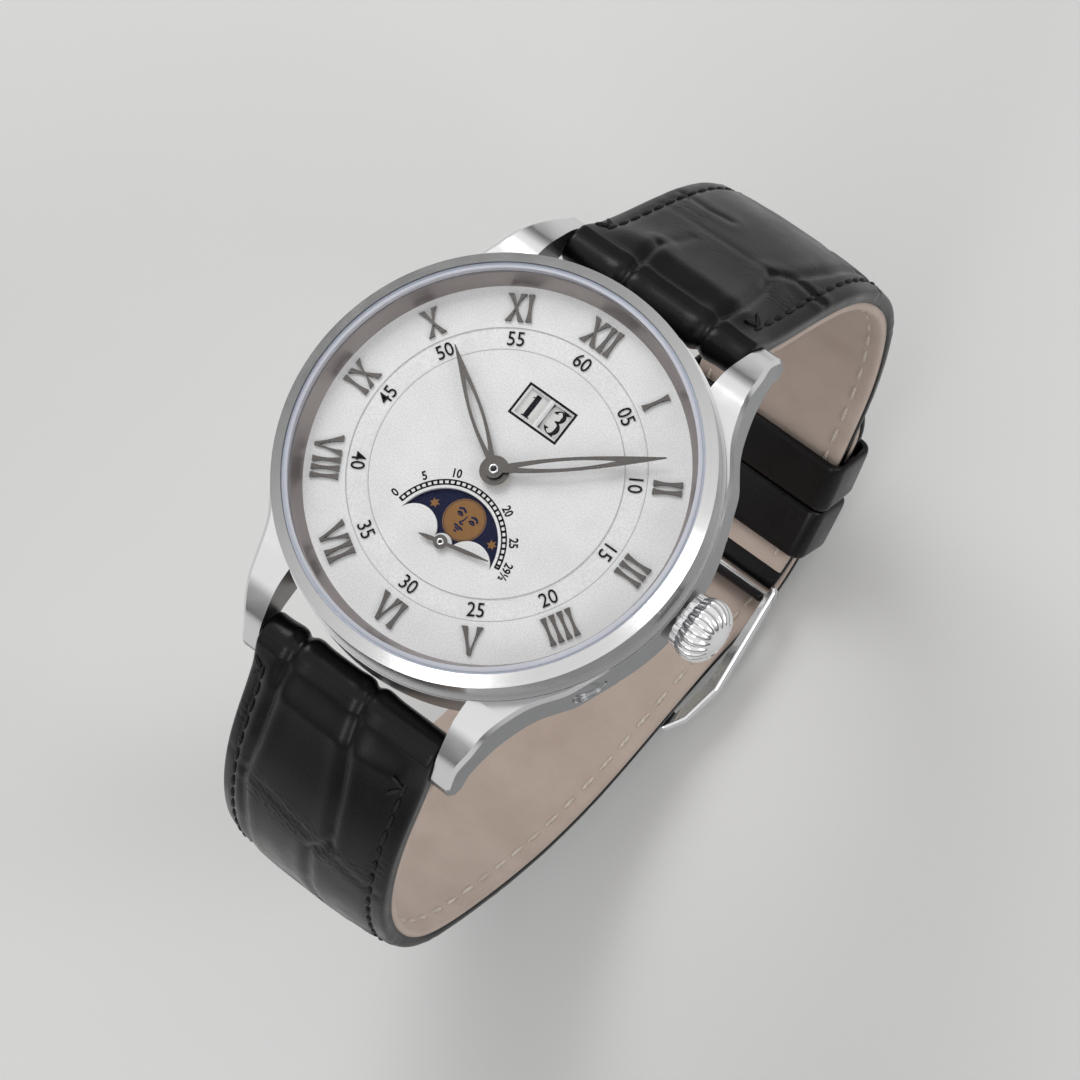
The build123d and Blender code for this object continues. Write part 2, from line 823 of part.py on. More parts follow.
with BuildPart() as crown:
    with BuildSketch(Plane((0, 0, crown_height), x_dir=(1, 0, 0), z_dir=(0, -1, 0))):
        with BuildLine():
            ThreePointArc(
                valley_point(crown_base_length), valley_point(crown_bulge_reach),
                valley_point(crown_cap_reach),
            )
            Line(valley_point(crown_cap_reach), (crown_start + crown_cap_reach, crown_cap_radius))
            TangentArc((crown_end, 0), (crown_start + crown_cap_reach, crown_cap_radius), tangent=(0, 1))
            Polyline(
                (crown_end, 0), (crown_start, 0), (crown_start, crown_base_radius),
                (crown_start + crown_base_length, crown_base_radius), valley_point(crown_base_length),
            )
        make_face()
    revolve(axis=Axis((0, 0, crown_height), (1, 0, 0)))
    axis_of_crown = Axis((0, 0, crown_height), (1, 0, 0))
    add([crown_rib.part.rotate(axis_of_crown, 360 / rib_count * index) for index in range(rib_count)])
    # The ribs end flat at the base, and a groove parts them from the cap
    with BuildSketch(Plane.YZ.offset(crown_start + crown_base_length)):
        with Locations((0, crown_height)):
            Circle(crown_radius + rib_radius)
            Circle(crown_base_radius, mode=Mode.SUBTRACT)
    extrude(amount=-crown_base_length - rib_radius, mode=Mode.SUBTRACT)
    with BuildSketch(Plane.YZ.offset(crown_start + crown_cap_reach - crown_groove_depth)):
        with Locations((0, crown_height)):
            Circle(crown_cap_radius + crown_cap_groove)
            Circle(crown_cap_radius, mode=Mode.SUBTRACT)
    extrude(amount=crown_length, mode=Mode.SUBTRACT)
    with BuildSketch(Plane.YZ.offset(crown_start)):
        with Locations((0, crown_height)):
            with PolarLocations(crown_base_radius, rib_count, start_angle=180 / rib_count):
                Circle(base_notch_radius)
    extrude(amount=crown_base_length, mode=Mode.SUBTRACT)
    with BuildSketch(Plane.YZ.offset(crown_start)):
        with Locations((0, crown_height)):
            Circle(crown_bore)
    extrude(amount=crown_bore_depth, mode=Mode.SUBTRACT)
crown.part.label = "crown"
export_step(crown.part, "parts/crown.step")

gasket_start = crown_start + crown_gasket_length
crown_gasket = along_x((
    (gasket_start, tube_radius + running_gap), (gasket_start, crown_bore),
    (gasket_start + crown_gasket_length, crown_bore),
    (gasket_start + crown_gasket_length, tube_radius + running_gap),
), crown_height)
crown_gasket.part.label = "crown_gasket"
export_step(crown_gasket.part, "parts/crown_gasket.step")

winding_stem = along_x((
    (stem_inner_end, 0), (stem_inner_end, stem_radius), (crown_start + crown_bore_depth, stem_radius),
    (crown_start + crown_bore_depth, 0),
), crown_height)
winding_stem.part.label = "winding_stem"
export_step(winding_stem.part, "parts/winding_stem.step")


def pinion_on_stem(start, length, radius):
    """A little toothed pinion that slides on the winding stem."""
    module = 2 * radius / (winding_pinion_teeth + 2 * addendum_share)
    with BuildPart() as piece:
        with BuildSketch(Plane((start, 0, crown_height), x_dir=(0, 1, 0), z_dir=(1, 0, 0))):
            Polygon(*tooth_outline(winding_pinion_teeth, module, 0))
            Circle(stem_radius + running_gap, mode=Mode.SUBTRACT)
        extrude(amount=length)
    return piece


winding_pinion_start = crown_wheel_reach + contrate_radius - winding_pinion_length / 2
winding_pinion = pinion_on_stem(winding_pinion_start, winding_pinion_length, winding_pinion_radius)
winding_pinion.part.label = "winding_pinion"
export_step(winding_pinion.part, "parts/winding_pinion.step")

sliding_pinion = pinion_on_stem(
    winding_pinion_start - running_gap - sliding_pinion_length, sliding_pinion_length, sliding_pinion_radius,
)
sliding_pinion.part.label = "sliding_pinion"
export_step(sliding_pinion.part, "parts/sliding_pinion.step")


# Corrector pusher and its coil spring
pusher_outward = moved(centre, 1, pusher_angle)
pusher_face = flank_radius - pusher_sink
pusher_neck = pusher_face - pusher_head_length
pusher_end = flank_radius - pusher_pocket_depth - pusher_travel
with BuildPart() as corrector_pusher:
    with BuildSketch(Plane(
        (*moved(centre, pusher_neck, pusher_angle), crown_height), x_dir=(0, 0, 1),
        z_dir=(*pusher_outward, 0),
    )):
        Circle(pusher_head_radius)
    extrude(amount=pusher_head_length)
    chamfer(
        corrector_pusher.edges().sort_by(Axis((0, 0, 0), (*pusher_outward, 0)))[-1],
        length=pusher_ring_depth,
    )
    with BuildSketch(Plane(
        (*moved(centre, pusher_face, pusher_angle), crown_height), x_dir=(0, 0, 1),
        z_dir=(*pusher_outward, 0),
    )):
        Circle(pusher_ring_radius)
        Circle(pusher_ring_radius - pusher_ring_width, mode=Mode.SUBTRACT)
    extrude(amount=-pusher_ring_depth, mode=Mode.SUBTRACT)
    with BuildSketch(Plane(
        (*moved(centre, pusher_end, pusher_angle), crown_height), x_dir=(0, 0, 1),
        z_dir=(*pusher_outward, 0),
    )):
        Circle(pusher_stem_radius)
    extrude(amount=pusher_neck - pusher_end)
corrector_pusher.part.label = "corrector_pusher"
export_step(corrector_pusher.part, "parts/corrector_pusher.step")

with BuildPart() as pusher_spring:
    spring_start = flank_radius - pusher_pocket_depth + pusher_wire_radius
    with BuildLine():
        coil = Helix(
            pitch=(pusher_coil_length - pusher_wire_radius * 2) / pusher_coil_turns,
            height=pusher_coil_length - pusher_wire_radius * 2, radius=pusher_coil_radius,
            center=(*moved(centre, spring_start, pusher_angle), crown_height),
            direction=(*pusher_outward, 0),
        )
    with BuildSketch(Plane(coil @ 0, z_dir=coil % 0)):
        Circle(pusher_wire_radius)
    sweep(path=coil, is_frenet=True)
pusher_spring.part.label = "pusher_spring"
export_step(pusher_spring.part, "parts/pusher_spring.step")


# Ring that holds the movement in the case
holder_radius = dial_seat_radius - holder_margin
with BuildPart() as movement_holder:
    with BuildSketch(Plane.XY.offset(calendar_top)):
        Circle(holder_radius)
        Circle(movement_radius + seat_gap, mode=Mode.SUBTRACT)
    extrude(amount=-holder_height)
    with BuildSketch(Plane.YZ.offset(movement_radius - overrun)):
        with Locations((0, crown_height)):
            Circle(stem_radius + running_gap * 3)
    extrude(amount=holder_radius, mode=Mode.SUBTRACT)
movement_holder.part.label = "movement_holder"
export_step(movement_holder.part, "parts/movement_holder.step")


# Dial, with the date windows and the moon window cut through it
with BuildPart() as dial:
    with BuildSketch(Plane.XY.offset(dial_bottom)):
        Circle(dial_radius)
        Circle(dial_hole, mode=Mode.SUBTRACT)
        with Locations(seconds_centre):
            Circle(seconds_hole, mode=Mode.SUBTRACT)
        with Locations((-date_window_offset, date_window_centre), (date_window_offset, date_window_centre)):
            Rectangle(date_window_width, date_window_height, mode=Mode.SUBTRACT)
    extrude(amount=dial_thickness)
    with BuildSketch(Plane.XY.offset(dial_bottom)):
        with Locations((0, -moon_window_base)):
            Circle(moon_window_radius)
        with Locations((0, -moon_window_base - moon_window_radius)):
            Rectangle(moon_window_radius * 2, moon_window_radius * 2, mode=Mode.SUBTRACT)
        with Locations((-hump_offset, -hump_drop), (hump_offset, -hump_drop)):
            Circle(hump_radius, mode=Mode.SUBTRACT)
        with Locations(seconds_centre):
            Circle(middle_hump_radius, mode=Mode.SUBTRACT)
    extrude(amount=dial_thickness, mode=Mode.SUBTRACT)
    with BuildSketch(Plane.XY.offset(dial_top)):
        Circle(track_outer)
        Circle(track_inner, mode=Mode.SUBTRACT)
    extrude(amount=-track_depth, mode=Mode.SUBTRACT)
    for side in (-1, 1):
        with BuildSketch(Plane.XY.offset(dial_top)):
            with Locations((side * date_window_offset, date_window_centre)):
                Rectangle(
                    date_window_width + date_window_bevel * 2, date_window_height + date_window_bevel * 2,
                )
        with BuildSketch(Plane.XY.offset(dial_top - date_window_bevel)):
            with Locations((side * date_window_offset, date_window_centre)):
                Rectangle(date_window_width, date_window_height)
        loft(mode=Mode.SUBTRACT)
dial.part.label = "dial"
export_step(dial.part, "parts/dial.step")


# Raised Roman numerals: every stroke is waisted, and flares to a flat end
def letter_strokes(letter, x):
    """The strokes of a letter centred on x, each (foot x, head x, foot width, waist width)."""
    lean = letter_lean_shares[letter] * numeral_height
    if letter == "I":
        return ((x, x, stroke_end_width, stroke_waist_width),)
    if letter == "V":
        return (
            (x, x - lean, pointed_foot_width, stroke_waist_width),
            (x, x + lean, pointed_foot_width, thin_waist_width),
        )
    return (
        (x + lean, x - lean, stroke_end_width, stroke_waist_width),
        (x - lean, x + lean, stroke_end_width, thin_waist_width),
    )


hour_words = ("XII", "I", "II", "III", "IIII", "V", "VI", "VII", "VIII", "IX", "X", "XI")
with BuildPart() as hour_numerals:
    for hour, word in enumerate(hour_words):
        clock_angle = hour * 360 / len(hour_words)
        upside_down = 180 if 3 < hour < 9 else 0
        place = moved(centre, numeral_radius, 90 - clock_angle)
        pitches = [letter_pitch_shares[letter] * numeral_height for letter in word]
        x = -sum(pitches) / 2
        strokes = []
        for letter, pitch in zip(word, pitches):
            strokes += letter_strokes(letter, x + pitch / 2)
            x += pitch
        with BuildSketch(Plane((*place, dial_top), x_dir=(
            cos(radians(upside_down - clock_angle)), sin(radians(upside_down - clock_angle)), 0,
        ))):
            for foot_x, head_x, foot_width, waist_width in strokes:
                foot, head, middle = -numeral_height / 2, numeral_height / 2, (foot_x + head_x) / 2
                with BuildLine():
                    right = ThreePointArc(
                        (foot_x + foot_width / 2, foot), (middle + waist_width / 2, 0),
                        (head_x + stroke_end_width / 2, head),
                    )
                    left = ThreePointArc(
                        (head_x - stroke_end_width / 2, head), (middle - waist_width / 2, 0),
                        (foot_x - foot_width / 2, foot),
                    )
                    Line(right @ 1, left @ 0)
                    Line(left @ 1, right @ 0)
                make_face()
        extrude(amount=numeral_rise)
hour_numerals.part.label = "hour_numerals"
export_step(hour_numerals.part, "parts/hour_numerals.step")


# Calendar plate with its posts, the two date discs and the moon disc
disc_top = dial_bottom - running_gap
with BuildPart() as calendar_plate:
    with BuildSketch(Plane.XY.offset(calendar_bottom)):
        Circle(movement_radius)
        Circle(hour_tube_radius + running_gap * 2, mode=Mode.SUBTRACT)
    extrude(amount=calendar_thickness)
    with BuildSketch(Plane.XY.offset(calendar_bottom)):
        with Locations(tens_centre, units_centre):
            Circle(disc_post_radius)
        with Locations(seconds_centre):
            Circle(seconds_tube_radius)
    extrude(amount=disc_top - calendar_bottom)
    with BuildSketch(Plane.XY.offset(calendar_bottom)):
        with Locations(seconds_centre):
            Circle(seconds_arbor_radius + running_gap)
    extrude(amount=dial_bottom - calendar_bottom, mode=Mode.SUBTRACT)
calendar_plate.part.label = "calendar_plate"
export_step(calendar_plate.part, "parts/calendar_plate.step")

date_tens_disc = ring(
    date_tens_radius, disc_post_radius + running_gap, tens_top - disc_thickness, disc_thickness, tens_centre,
)
date_tens_disc.part.label = "date_tens_disc"
export_step(date_tens_disc.part, "parts/date_tens_disc.step")

date_units_disc = ring(
    date_units_radius, disc_post_radius + running_gap, units_top - disc_thickness, disc_thickness,
    units_centre,
)
date_units_disc.part.label = "date_units_disc"
export_step(date_units_disc.part, "parts/date_units_disc.step")

moon_disc = ring(
    moon_disc_radius, seconds_tube_radius + running_gap, tens_top - disc_thickness, disc_thickness,
    seconds_centre,
)
moon_disc.part.label = "moon_disc"
export_step(moon_disc.part, "parts/moon_disc.step")


# Hands
def leaf_hand(height, angle, hub, hole, length, belly, belly_share, opening_shares):
    """A pierced leaf hand lying flat; angle runs clockwise from twelve."""
    toward = (cos(radians(-angle)), sin(radians(-angle)), 0)
    belly_reach = length * belly_share
    opening = [length * share for share in opening_shares]
    with BuildPart() as piece:
        with BuildSketch(Plane((0, 0, height), x_dir=toward)):
            Circle(hub)
        with BuildSketch(Plane((0, 0, height), x_dir=toward)):
            with BuildLine():
                right = Spline(
                    (hand_neck_width / 2, hub * hub_overlap_share), (belly / 2, belly_reach),
                    (hand_tip_width / 2, length), tangents=((hand_lean_share, 1), (-hand_lean_share, 1)),
                )
                left = Spline(
                    (-hand_tip_width / 2, length), (-belly / 2, belly_reach),
                    (-hand_neck_width / 2, hub * hub_overlap_share),
                    tangents=((-hand_lean_share, -1), (hand_lean_share, -1)),
                )
                Line(right @ 1, left @ 0)
                Line(left @ 1, right @ 0)
            make_face()
        extrude(amount=hand_thickness)
        with BuildSketch(Plane((0, 0, height), x_dir=toward)):
            with BuildLine():
                rise = Spline((0, opening[0]), (belly / 2 - hand_strip, belly_reach), (0, opening[1]))
                Spline(rise @ 1, (hand_strip - belly / 2, belly_reach), rise @ 0)
            make_face()
            if hole > 0:
                Circle(hole)
        extrude(amount=hand_thickness, mode=Mode.SUBTRACT)
    return piece


hour_hand = leaf_hand(
    dial_top + hour_hand_height, hour_hand_angle, hour_hand_hub, cannon_radius + hour_tube_gap,
    hour_hand_length, hour_hand_belly, hour_hand_belly_share, hour_hand_opening_shares,
)
hour_hand.part.label = "hour_hand"
export_step(hour_hand.part, "parts/hour_hand.step")

with BuildPart() as minute_hand:
    add(leaf_hand(
        dial_top + minute_hand_height, minute_hand_angle, minute_hand_hub, 0, minute_hand_length,
        minute_hand_belly, minute_hand_belly_share, minute_hand_opening_shares,
    ).part)
    with BuildSketch(Plane.XY.offset(dial_top + minute_hand_height + hand_thickness)):
        Circle(cap_radius)
    extrude(amount=cap_rise)
minute_hand.part.label = "minute_hand"
export_step(minute_hand.part, "parts/minute_hand.step")

with BuildPart() as seconds_hand:
    half, neck, tip = seconds_hand_width / 2, seconds_hand_neck_width / 2, hand_tip_width / 2
    with BuildSketch(Plane(
        (*seconds_centre, dial_top + seconds_hand_height),
        x_dir=(cos(radians(-seconds_hand_angle)), sin(radians(-seconds_hand_angle)), 0),
    )):
        Circle(seconds_hand_hub)
        for reach, belly_share in (
            (seconds_hand_length, seconds_hand_belly_share), (-seconds_hand_tail, seconds_tail_belly_share),
        ):
            with BuildLine():
                right = Spline((neck, 0), (half, reach * belly_share), (tip, reach))
                left = Spline((-tip, reach), (-half, reach * belly_share), (-neck, 0))
                Line(right @ 1, left @ 0)
                Line(left @ 1, right @ 0)
            make_face()
    extrude(amount=seconds_hand_thickness)
seconds_hand.part.label = "seconds_hand"
export_step(seconds_hand.part, "parts/seconds_hand.step")


# Motion work behind the dial
motion_top = calendar_bottom - hour_wheel_drop
cannon_top = plate_top + motion_wheel_thickness + motion_level_gap
minute_hand_bottom = dial_top + minute_hand_height
with BuildPart() as cannon_pinion:
    with BuildSketch(Plane.XY.offset(cannon_top)):
        Polygon(*tooth_outline(cannon_teeth, cannon_module, minute_wheel_direction))
    extrude(amount=-motion_wheel_thickness)
    with BuildSketch(Plane.XY.offset(cannon_top)):
        Circle(cannon_radius)
    extrude(amount=minute_hand_bottom - cannon_top)
    with BuildSketch(Plane.XY.offset(cannon_top - motion_wheel_thickness)):
        Circle(cannon_radius - cannon_wall)
    extrude(amount=minute_hand_bottom, mode=Mode.SUBTRACT)
cannon_pinion.part.label = "cannon_pinion"
export_step(cannon_pinion.part, "parts/cannon_pinion.step")

minute_wheel = wheel_on_arbor(
    minute_wheel_centre,
    (minute_wheel_teeth, cannon_module, gap_phase(minute_wheel_centre, centre, minute_wheel_teeth),
     cannon_top,
     motion_wheel_thickness),
    (minute_pinion_teeth, hour_module, direction_of(minute_wheel_centre, centre), motion_top,
     motion_top - cannon_top + motion_wheel_thickness),
    (arbor_radius, plate_top - plate_thickness / 2, motion_top),
)
minute_wheel.part.label = "minute_wheel"
export_step(minute_wheel.part, "parts/minute_wheel.step")

hour_hand_bottom = dial_top + hour_hand_height
with BuildPart() as hour_wheel:
    with BuildSketch(Plane.XY.offset(motion_top)):
        Polygon(*tooth_outline(
            hour_wheel_teeth, hour_module, gap_phase(centre, minute_wheel_centre, hour_wheel_teeth),
        ))
        with PolarLocations(hour_module * hour_wheel_teeth / 2 * crossing_share, crossing_count):
            Circle(hour_module * hour_wheel_teeth / 2 * hour_window_share, mode=Mode.SUBTRACT)
    extrude(amount=-motion_wheel_thickness)
    with BuildSketch(Plane.XY.offset(motion_top - motion_wheel_thickness)):
        Circle(hour_tube_radius)
    extrude(amount=hour_hand_bottom - motion_top + motion_wheel_thickness)
    with BuildSketch(Plane.XY.offset(motion_top - motion_wheel_thickness)):
        Circle(cannon_radius + hour_tube_gap)
    extrude(amount=hour_hand_bottom, mode=Mode.SUBTRACT)
hour_wheel.part.label = "hour_wheel"
export_step(hour_wheel.part, "parts/hour_wheel.step")


# Main plate, with pivot holes and a rim that carries the bridges
plate_pivots = (
    (centre, centre_arbor_radius), (third_centre, arbor_radius), (seconds_centre, seconds_arbor_radius),
    (escape_centre, pivot_radius), (pallet_centre, pivot_radius), (balance_centre, pivot_radius),
    (barrel_centre, barrel_arbor_radius), (minute_wheel_centre, arbor_radius),
)
with BuildPart() as main_plate:
    with BuildSketch(Plane.XY.offset(plate_bottom)):
        Circle(movement_radius)
        for place, radius in plate_pivots:
            with Locations(place):
                Circle(radius + running_gap, mode=Mode.SUBTRACT)
    extrude(amount=plate_thickness)
    with BuildSketch(Plane.XY.offset(plate_bottom)):
        Circle(movement_radius)
        Circle(well_radius, mode=Mode.SUBTRACT)
    extrude(amount=-well_depth)
    with BuildSketch(Plane.YZ.offset(well_radius - overrun)):
        with Locations((0, crown_height)):
            Circle(stem_radius + running_gap)
    extrude(amount=movement_radius, mode=Mode.SUBTRACT)
main_plate.part.label = "main_plate"
export_step(main_plate.part, "parts/main_plate.step")


# Barrel with its mainspring, and the arbor that carries the ratchet wheel
barrel_top = plate_bottom - barrel_drop
barrel_floor = barrel_top - barrel_height
with BuildPart() as barrel:
    with BuildSketch(Plane((*barrel_centre, barrel_top))):
        Polygon(*tooth_outline(barrel_teeth, barrel_module, gap_phase(barrel_centre, centre, barrel_teeth)))
        Circle(barrel_arbor_radius + running_gap, mode=Mode.SUBTRACT)
    extrude(amount=-barrel_rim_thickness)
    with BuildSketch(Plane((*barrel_centre, barrel_top - barrel_rim_thickness))):
        Circle(barrel_radius)
        Circle(barrel_radius - barrel_wall, mode=Mode.SUBTRACT)
    extrude(amount=barrel_floor - barrel_top + barrel_rim_thickness)
    with BuildSketch(Plane((*barrel_centre, barrel_floor))):
        Circle(barrel_radius)
        Circle(barrel_arbor_radius + running_gap, mode=Mode.SUBTRACT)
    extrude(amount=barrel_cover)
barrel.part.label = "barrel"
export_step(barrel.part, "parts/barrel.step")

mainspring = spiral_band(
    barrel_centre, barrel_hub_radius, barrel_radius - barrel_wall, spring_turns, spring_strip,
    barrel_floor + barrel_cover, barrel_height - barrel_cover - barrel_rim_thickness,
)
mainspring.part.label = "mainspring"
export_step(mainspring.part, "parts/mainspring.step")

winding_wheel_bottom = bridge_bottom - winding_wheel_gap - winding_wheel_thickness
barrel_arbor = ring(
    barrel_arbor_radius, 0, winding_wheel_bottom, plate_bottom + plate_thickness / 2 - winding_wheel_bottom,
    barrel_centre,
)
barrel_arbor.part.label = "barrel_arbor"
export_step(barrel_arbor.part, "parts/barrel_arbor.step")

with BuildPart() as ratchet_wheel:
    with BuildSketch(Plane((*barrel_centre, winding_wheel_bottom))):
        Polygon(*tooth_outline(
            ratchet_teeth, winding_module, gap_phase(barrel_centre, crown_wheel_centre, ratchet_teeth),
        ))
        Circle(barrel_arbor_radius, mode=Mode.SUBTRACT)
    extrude(amount=winding_wheel_thickness)
ratchet_wheel.part.label = "ratchet_wheel"
export_step(ratchet_wheel.part, "parts/ratchet_wheel.step")

# Crown wheel: a flat wheel with a slotted ring that meets the winding pinion
contrate_top = crown_height - winding_pinion_radius - running_gap
with BuildPart() as crown_wheel:
    with BuildSketch(Plane((*crown_wheel_centre, winding_wheel_bottom))):
        Polygon(*tooth_outline(
            crown_wheel_teeth, winding_module, direction_of(crown_wheel_centre, barrel_centre),
        ))
        Circle(contrate_radius - contrate_wall / 2, mode=Mode.SUBTRACT)
    extrude(amount=winding_wheel_thickness)
    with BuildSketch(Plane((*crown_wheel_centre, winding_wheel_bottom))):
        Circle(contrate_radius + contrate_wall / 2)
        Circle(contrate_radius - contrate_wall / 2, mode=Mode.SUBTRACT)
    extrude(amount=contrate_top - winding_wheel_bottom)
    with BuildSketch(Plane((*crown_wheel_centre, contrate_top))):
        with PolarLocations(contrate_radius, contrate_teeth):
            Rectangle(contrate_wall * 2, contrate_slot)
    extrude(amount=-contrate_slot, mode=Mode.SUBTRACT)
crown_wheel.part.label = "crown_wheel"
export_step(crown_wheel.part, "parts/crown_wheel.step")

# Click: a pawl on a screw, resting just clear of the ratchet teeth
ratchet_tip = winding_module * (ratchet_teeth / 2 + addendum_share)
click_pivot = moved(barrel_centre, ratchet_tip + click_length * click_stand_share, click_direction)
click_aim = direction_of(click_pivot, barrel_centre) + click_swing
with BuildPart() as click:
    with BuildSketch(Plane((*click_pivot, winding_wheel_bottom), x_dir=(
        cos(radians(click_aim)), sin(radians(click_aim)), 0,
    ))):
        Circle(click_width)
        Polygon((0, click_width), (0, -click_width / 2), (click_length, -click_width / 4), (click_length, 0))
        Circle(screw_radius + running_gap, mode=Mode.SUBTRACT)
    extrude(amount=winding_wheel_thickness)
click.part.label = "click"
export_step(click.part, "parts/click.step")


# Going train
centre_wheel_top = plate_bottom - centre_drop
centre_pinion_top = plate_bottom - centre_pinion_drop
third_top = plate_bottom - third_drop
third_pinion_top = centre_wheel_top + running_gap
fourth_top = plate_bottom - fourth_drop
fourth_pinion_top = third_top + running_gap * 3
escape_top = plate_bottom - escape_drop
escape_pinion_top = fourth_top + running_gap
train_floor = bridge_top - jewel_thickness + running_gap
arbor_top = plate_bottom + plate_thickness / 2
centre_wheel = wheel_on_arbor(
    centre,
    (centre_teeth, centre_module, direction_of(centre, third_centre), centre_wheel_top, wheel_thickness),
    (centre_pinion_teeth, barrel_module, direction_of(centre, barrel_centre), centre_pinion_top,
     pinion_height),
    (centre_arbor_radius, train_floor, dial_top - centre_arbor_radius),
)
centre_wheel.part.label = "centre_wheel"
export_step(centre_wheel.part, "parts/centre_wheel.step")

third_wheel = wheel_on_arbor(
    third_centre,
    (third_teeth, third_module, direction_of(third_centre, seconds_centre), third_top, wheel_thickness),
    (third_pinion_teeth, centre_module, gap_phase(third_centre, centre, third_pinion_teeth),
     third_pinion_top, wheel_thickness + running_gap * 2),
    (arbor_radius, train_floor, arbor_top),
)
third_wheel.part.label = "third_wheel"
export_step(third_wheel.part, "parts/third_wheel.step")

fourth_wheel = wheel_on_arbor(
    seconds_centre,
    (fourth_teeth, fourth_module, direction_of(seconds_centre, escape_centre), fourth_top, wheel_thickness),
    (fourth_pinion_teeth, third_module, gap_phase(seconds_centre, third_centre, fourth_pinion_teeth),
     fourth_pinion_top, pinion_height),
    (seconds_arbor_radius, train_floor, dial_top + seconds_hand_height),
)
fourth_wheel.part.label = "fourth_wheel"
export_step(fourth_wheel.part, "parts/fourth_wheel.step")


# Escapement
def escape_outline():
    """Corners of the escape wheel: each tooth leans forward and ends in a small club."""
    step = 360 / escape_teeth
    root = escape_radius - escape_tooth_depth
    outline = []
    for index in range(escape_teeth):
        for radius, share in ((root, 0), (escape_radius, escape_tip_share),
                              (escape_radius, escape_tip_share + escape_club_share), (root, escape_back_share)):
            outline.append(moved(centre, radius, (index + share) * step))
    return outline


with BuildPart() as escape_wheel:
    with BuildSketch(Plane((*escape_centre, escape_top))):
        Polygon(*escape_outline())
        with PolarLocations(escape_radius * escape_window_reach_share, crossing_count):
            Circle(escape_radius * escape_window_share, mode=Mode.SUBTRACT)
    extrude(amount=-escape_thickness)
    with BuildSketch(Plane((*escape_centre, escape_pinion_top))):
        Polygon(*tooth_outline(
            escape_pinion_teeth, fourth_module,
            gap_phase(escape_centre, seconds_centre, escape_pinion_teeth),
        ))
    extrude(amount=-wheel_thickness - running_gap * 2)
    with BuildSketch(Plane((*escape_centre, train_floor))):
        Circle(pivot_radius)
    extrude(amount=arbor_top - train_floor)
escape_wheel.part.label = "escape_wheel"
export_step(escape_wheel.part, "parts/escape_wheel.step")

impulse_reach = roller_radius - impulse_pin_radius - impulse_pin_inset
with BuildPart() as pallet_fork:
    lever_end = lever_reach - impulse_reach + impulse_pin_radius * 2
    with BuildSketch(Plane((*pallet_centre, escape_top), x_dir=(
        cos(radians(balance_direction)), sin(radians(balance_direction)), 0,
    ))):
        with Locations((lever_end / 2, 0)):
            Rectangle(lever_end, lever_width)
        with Locations((lever_end, 0)):
            Rectangle(fork_slot_depth * 2, (impulse_pin_radius + fork_gap) * 2, mode=Mode.SUBTRACT)
        for side in (-1, 1):
            elbow = moved(centre, pallet_elbow, 180 + side * pallet_spread)
            inward = direction_of(elbow, (-pallet_reach, 0))
            stone_reach = hypot(elbow[0] + pallet_reach, elbow[1]) - escape_radius - running_gap
            stone = moved(elbow, stone_reach, inward)
            with Locations((elbow[0] / 2, elbow[1] / 2)):
                Rectangle(pallet_elbow, lever_width, rotation=180 + side * pallet_spread)
            with Locations(((elbow[0] + stone[0]) / 2, (elbow[1] + stone[1]) / 2)):
                Rectangle(stone_reach, pallet_jewel_width, rotation=inward)
    extrude(amount=-pallet_thickness)
    with BuildSketch(Plane((*pallet_centre, bridge_top + running_gap))):
        Circle(pivot_radius)
    extrude(amount=arbor_top - bridge_top - running_gap)
pallet_fork.part.label = "pallet_fork"
export_step(pallet_fork.part, "parts/pallet_fork.step")

# Balance with its roller and impulse pin, and the hairspring
balance_top = bridge_top - balance_drop
with BuildPart() as balance_wheel:
    with BuildSketch(Plane((*balance_centre, balance_top - balance_thickness))):
        Circle(balance_radius)
        Circle(balance_radius - balance_rim, mode=Mode.SUBTRACT)
        Rectangle(balance_radius * 2 - balance_rim, balance_arm_width)
        Circle(roller_radius)
        with PolarLocations(balance_radius - balance_rim / 2, balance_screw_count):
            Circle(balance_screw_radius, mode=Mode.SUBTRACT)
    extrude(amount=balance_thickness)
    with BuildSketch(Plane((*balance_centre, balance_top))):
        Circle(roller_radius)
    extrude(amount=escape_top - pallet_thickness - running_gap - balance_top)
    with BuildSketch(Plane((*balance_centre, balance_top))):
        with Locations(moved(centre, impulse_reach, balance_direction + 180)):
            Circle(impulse_pin_radius)
    extrude(amount=escape_top - pallet_thickness / 2 - balance_top)
    with BuildSketch(Plane((*balance_centre, bridge_bottom - cock_gap - jewel_thickness + running_gap))):
        Circle(pivot_radius)
    extrude(amount=arbor_top - bridge_bottom + cock_gap + jewel_thickness - running_gap)
balance_wheel.part.label = "balance_wheel"
export_step(balance_wheel.part, "parts/balance_wheel.step")

hairspring = spiral_band(
    balance_centre, pivot_radius * 3, hairspring_outer, hairspring_turns, hairspring_strip,
    bridge_bottom + running_gap, hairspring_height,
)
hairspring.part.label = "hairspring"
export_step(hairspring.part, "parts/hairspring.step")


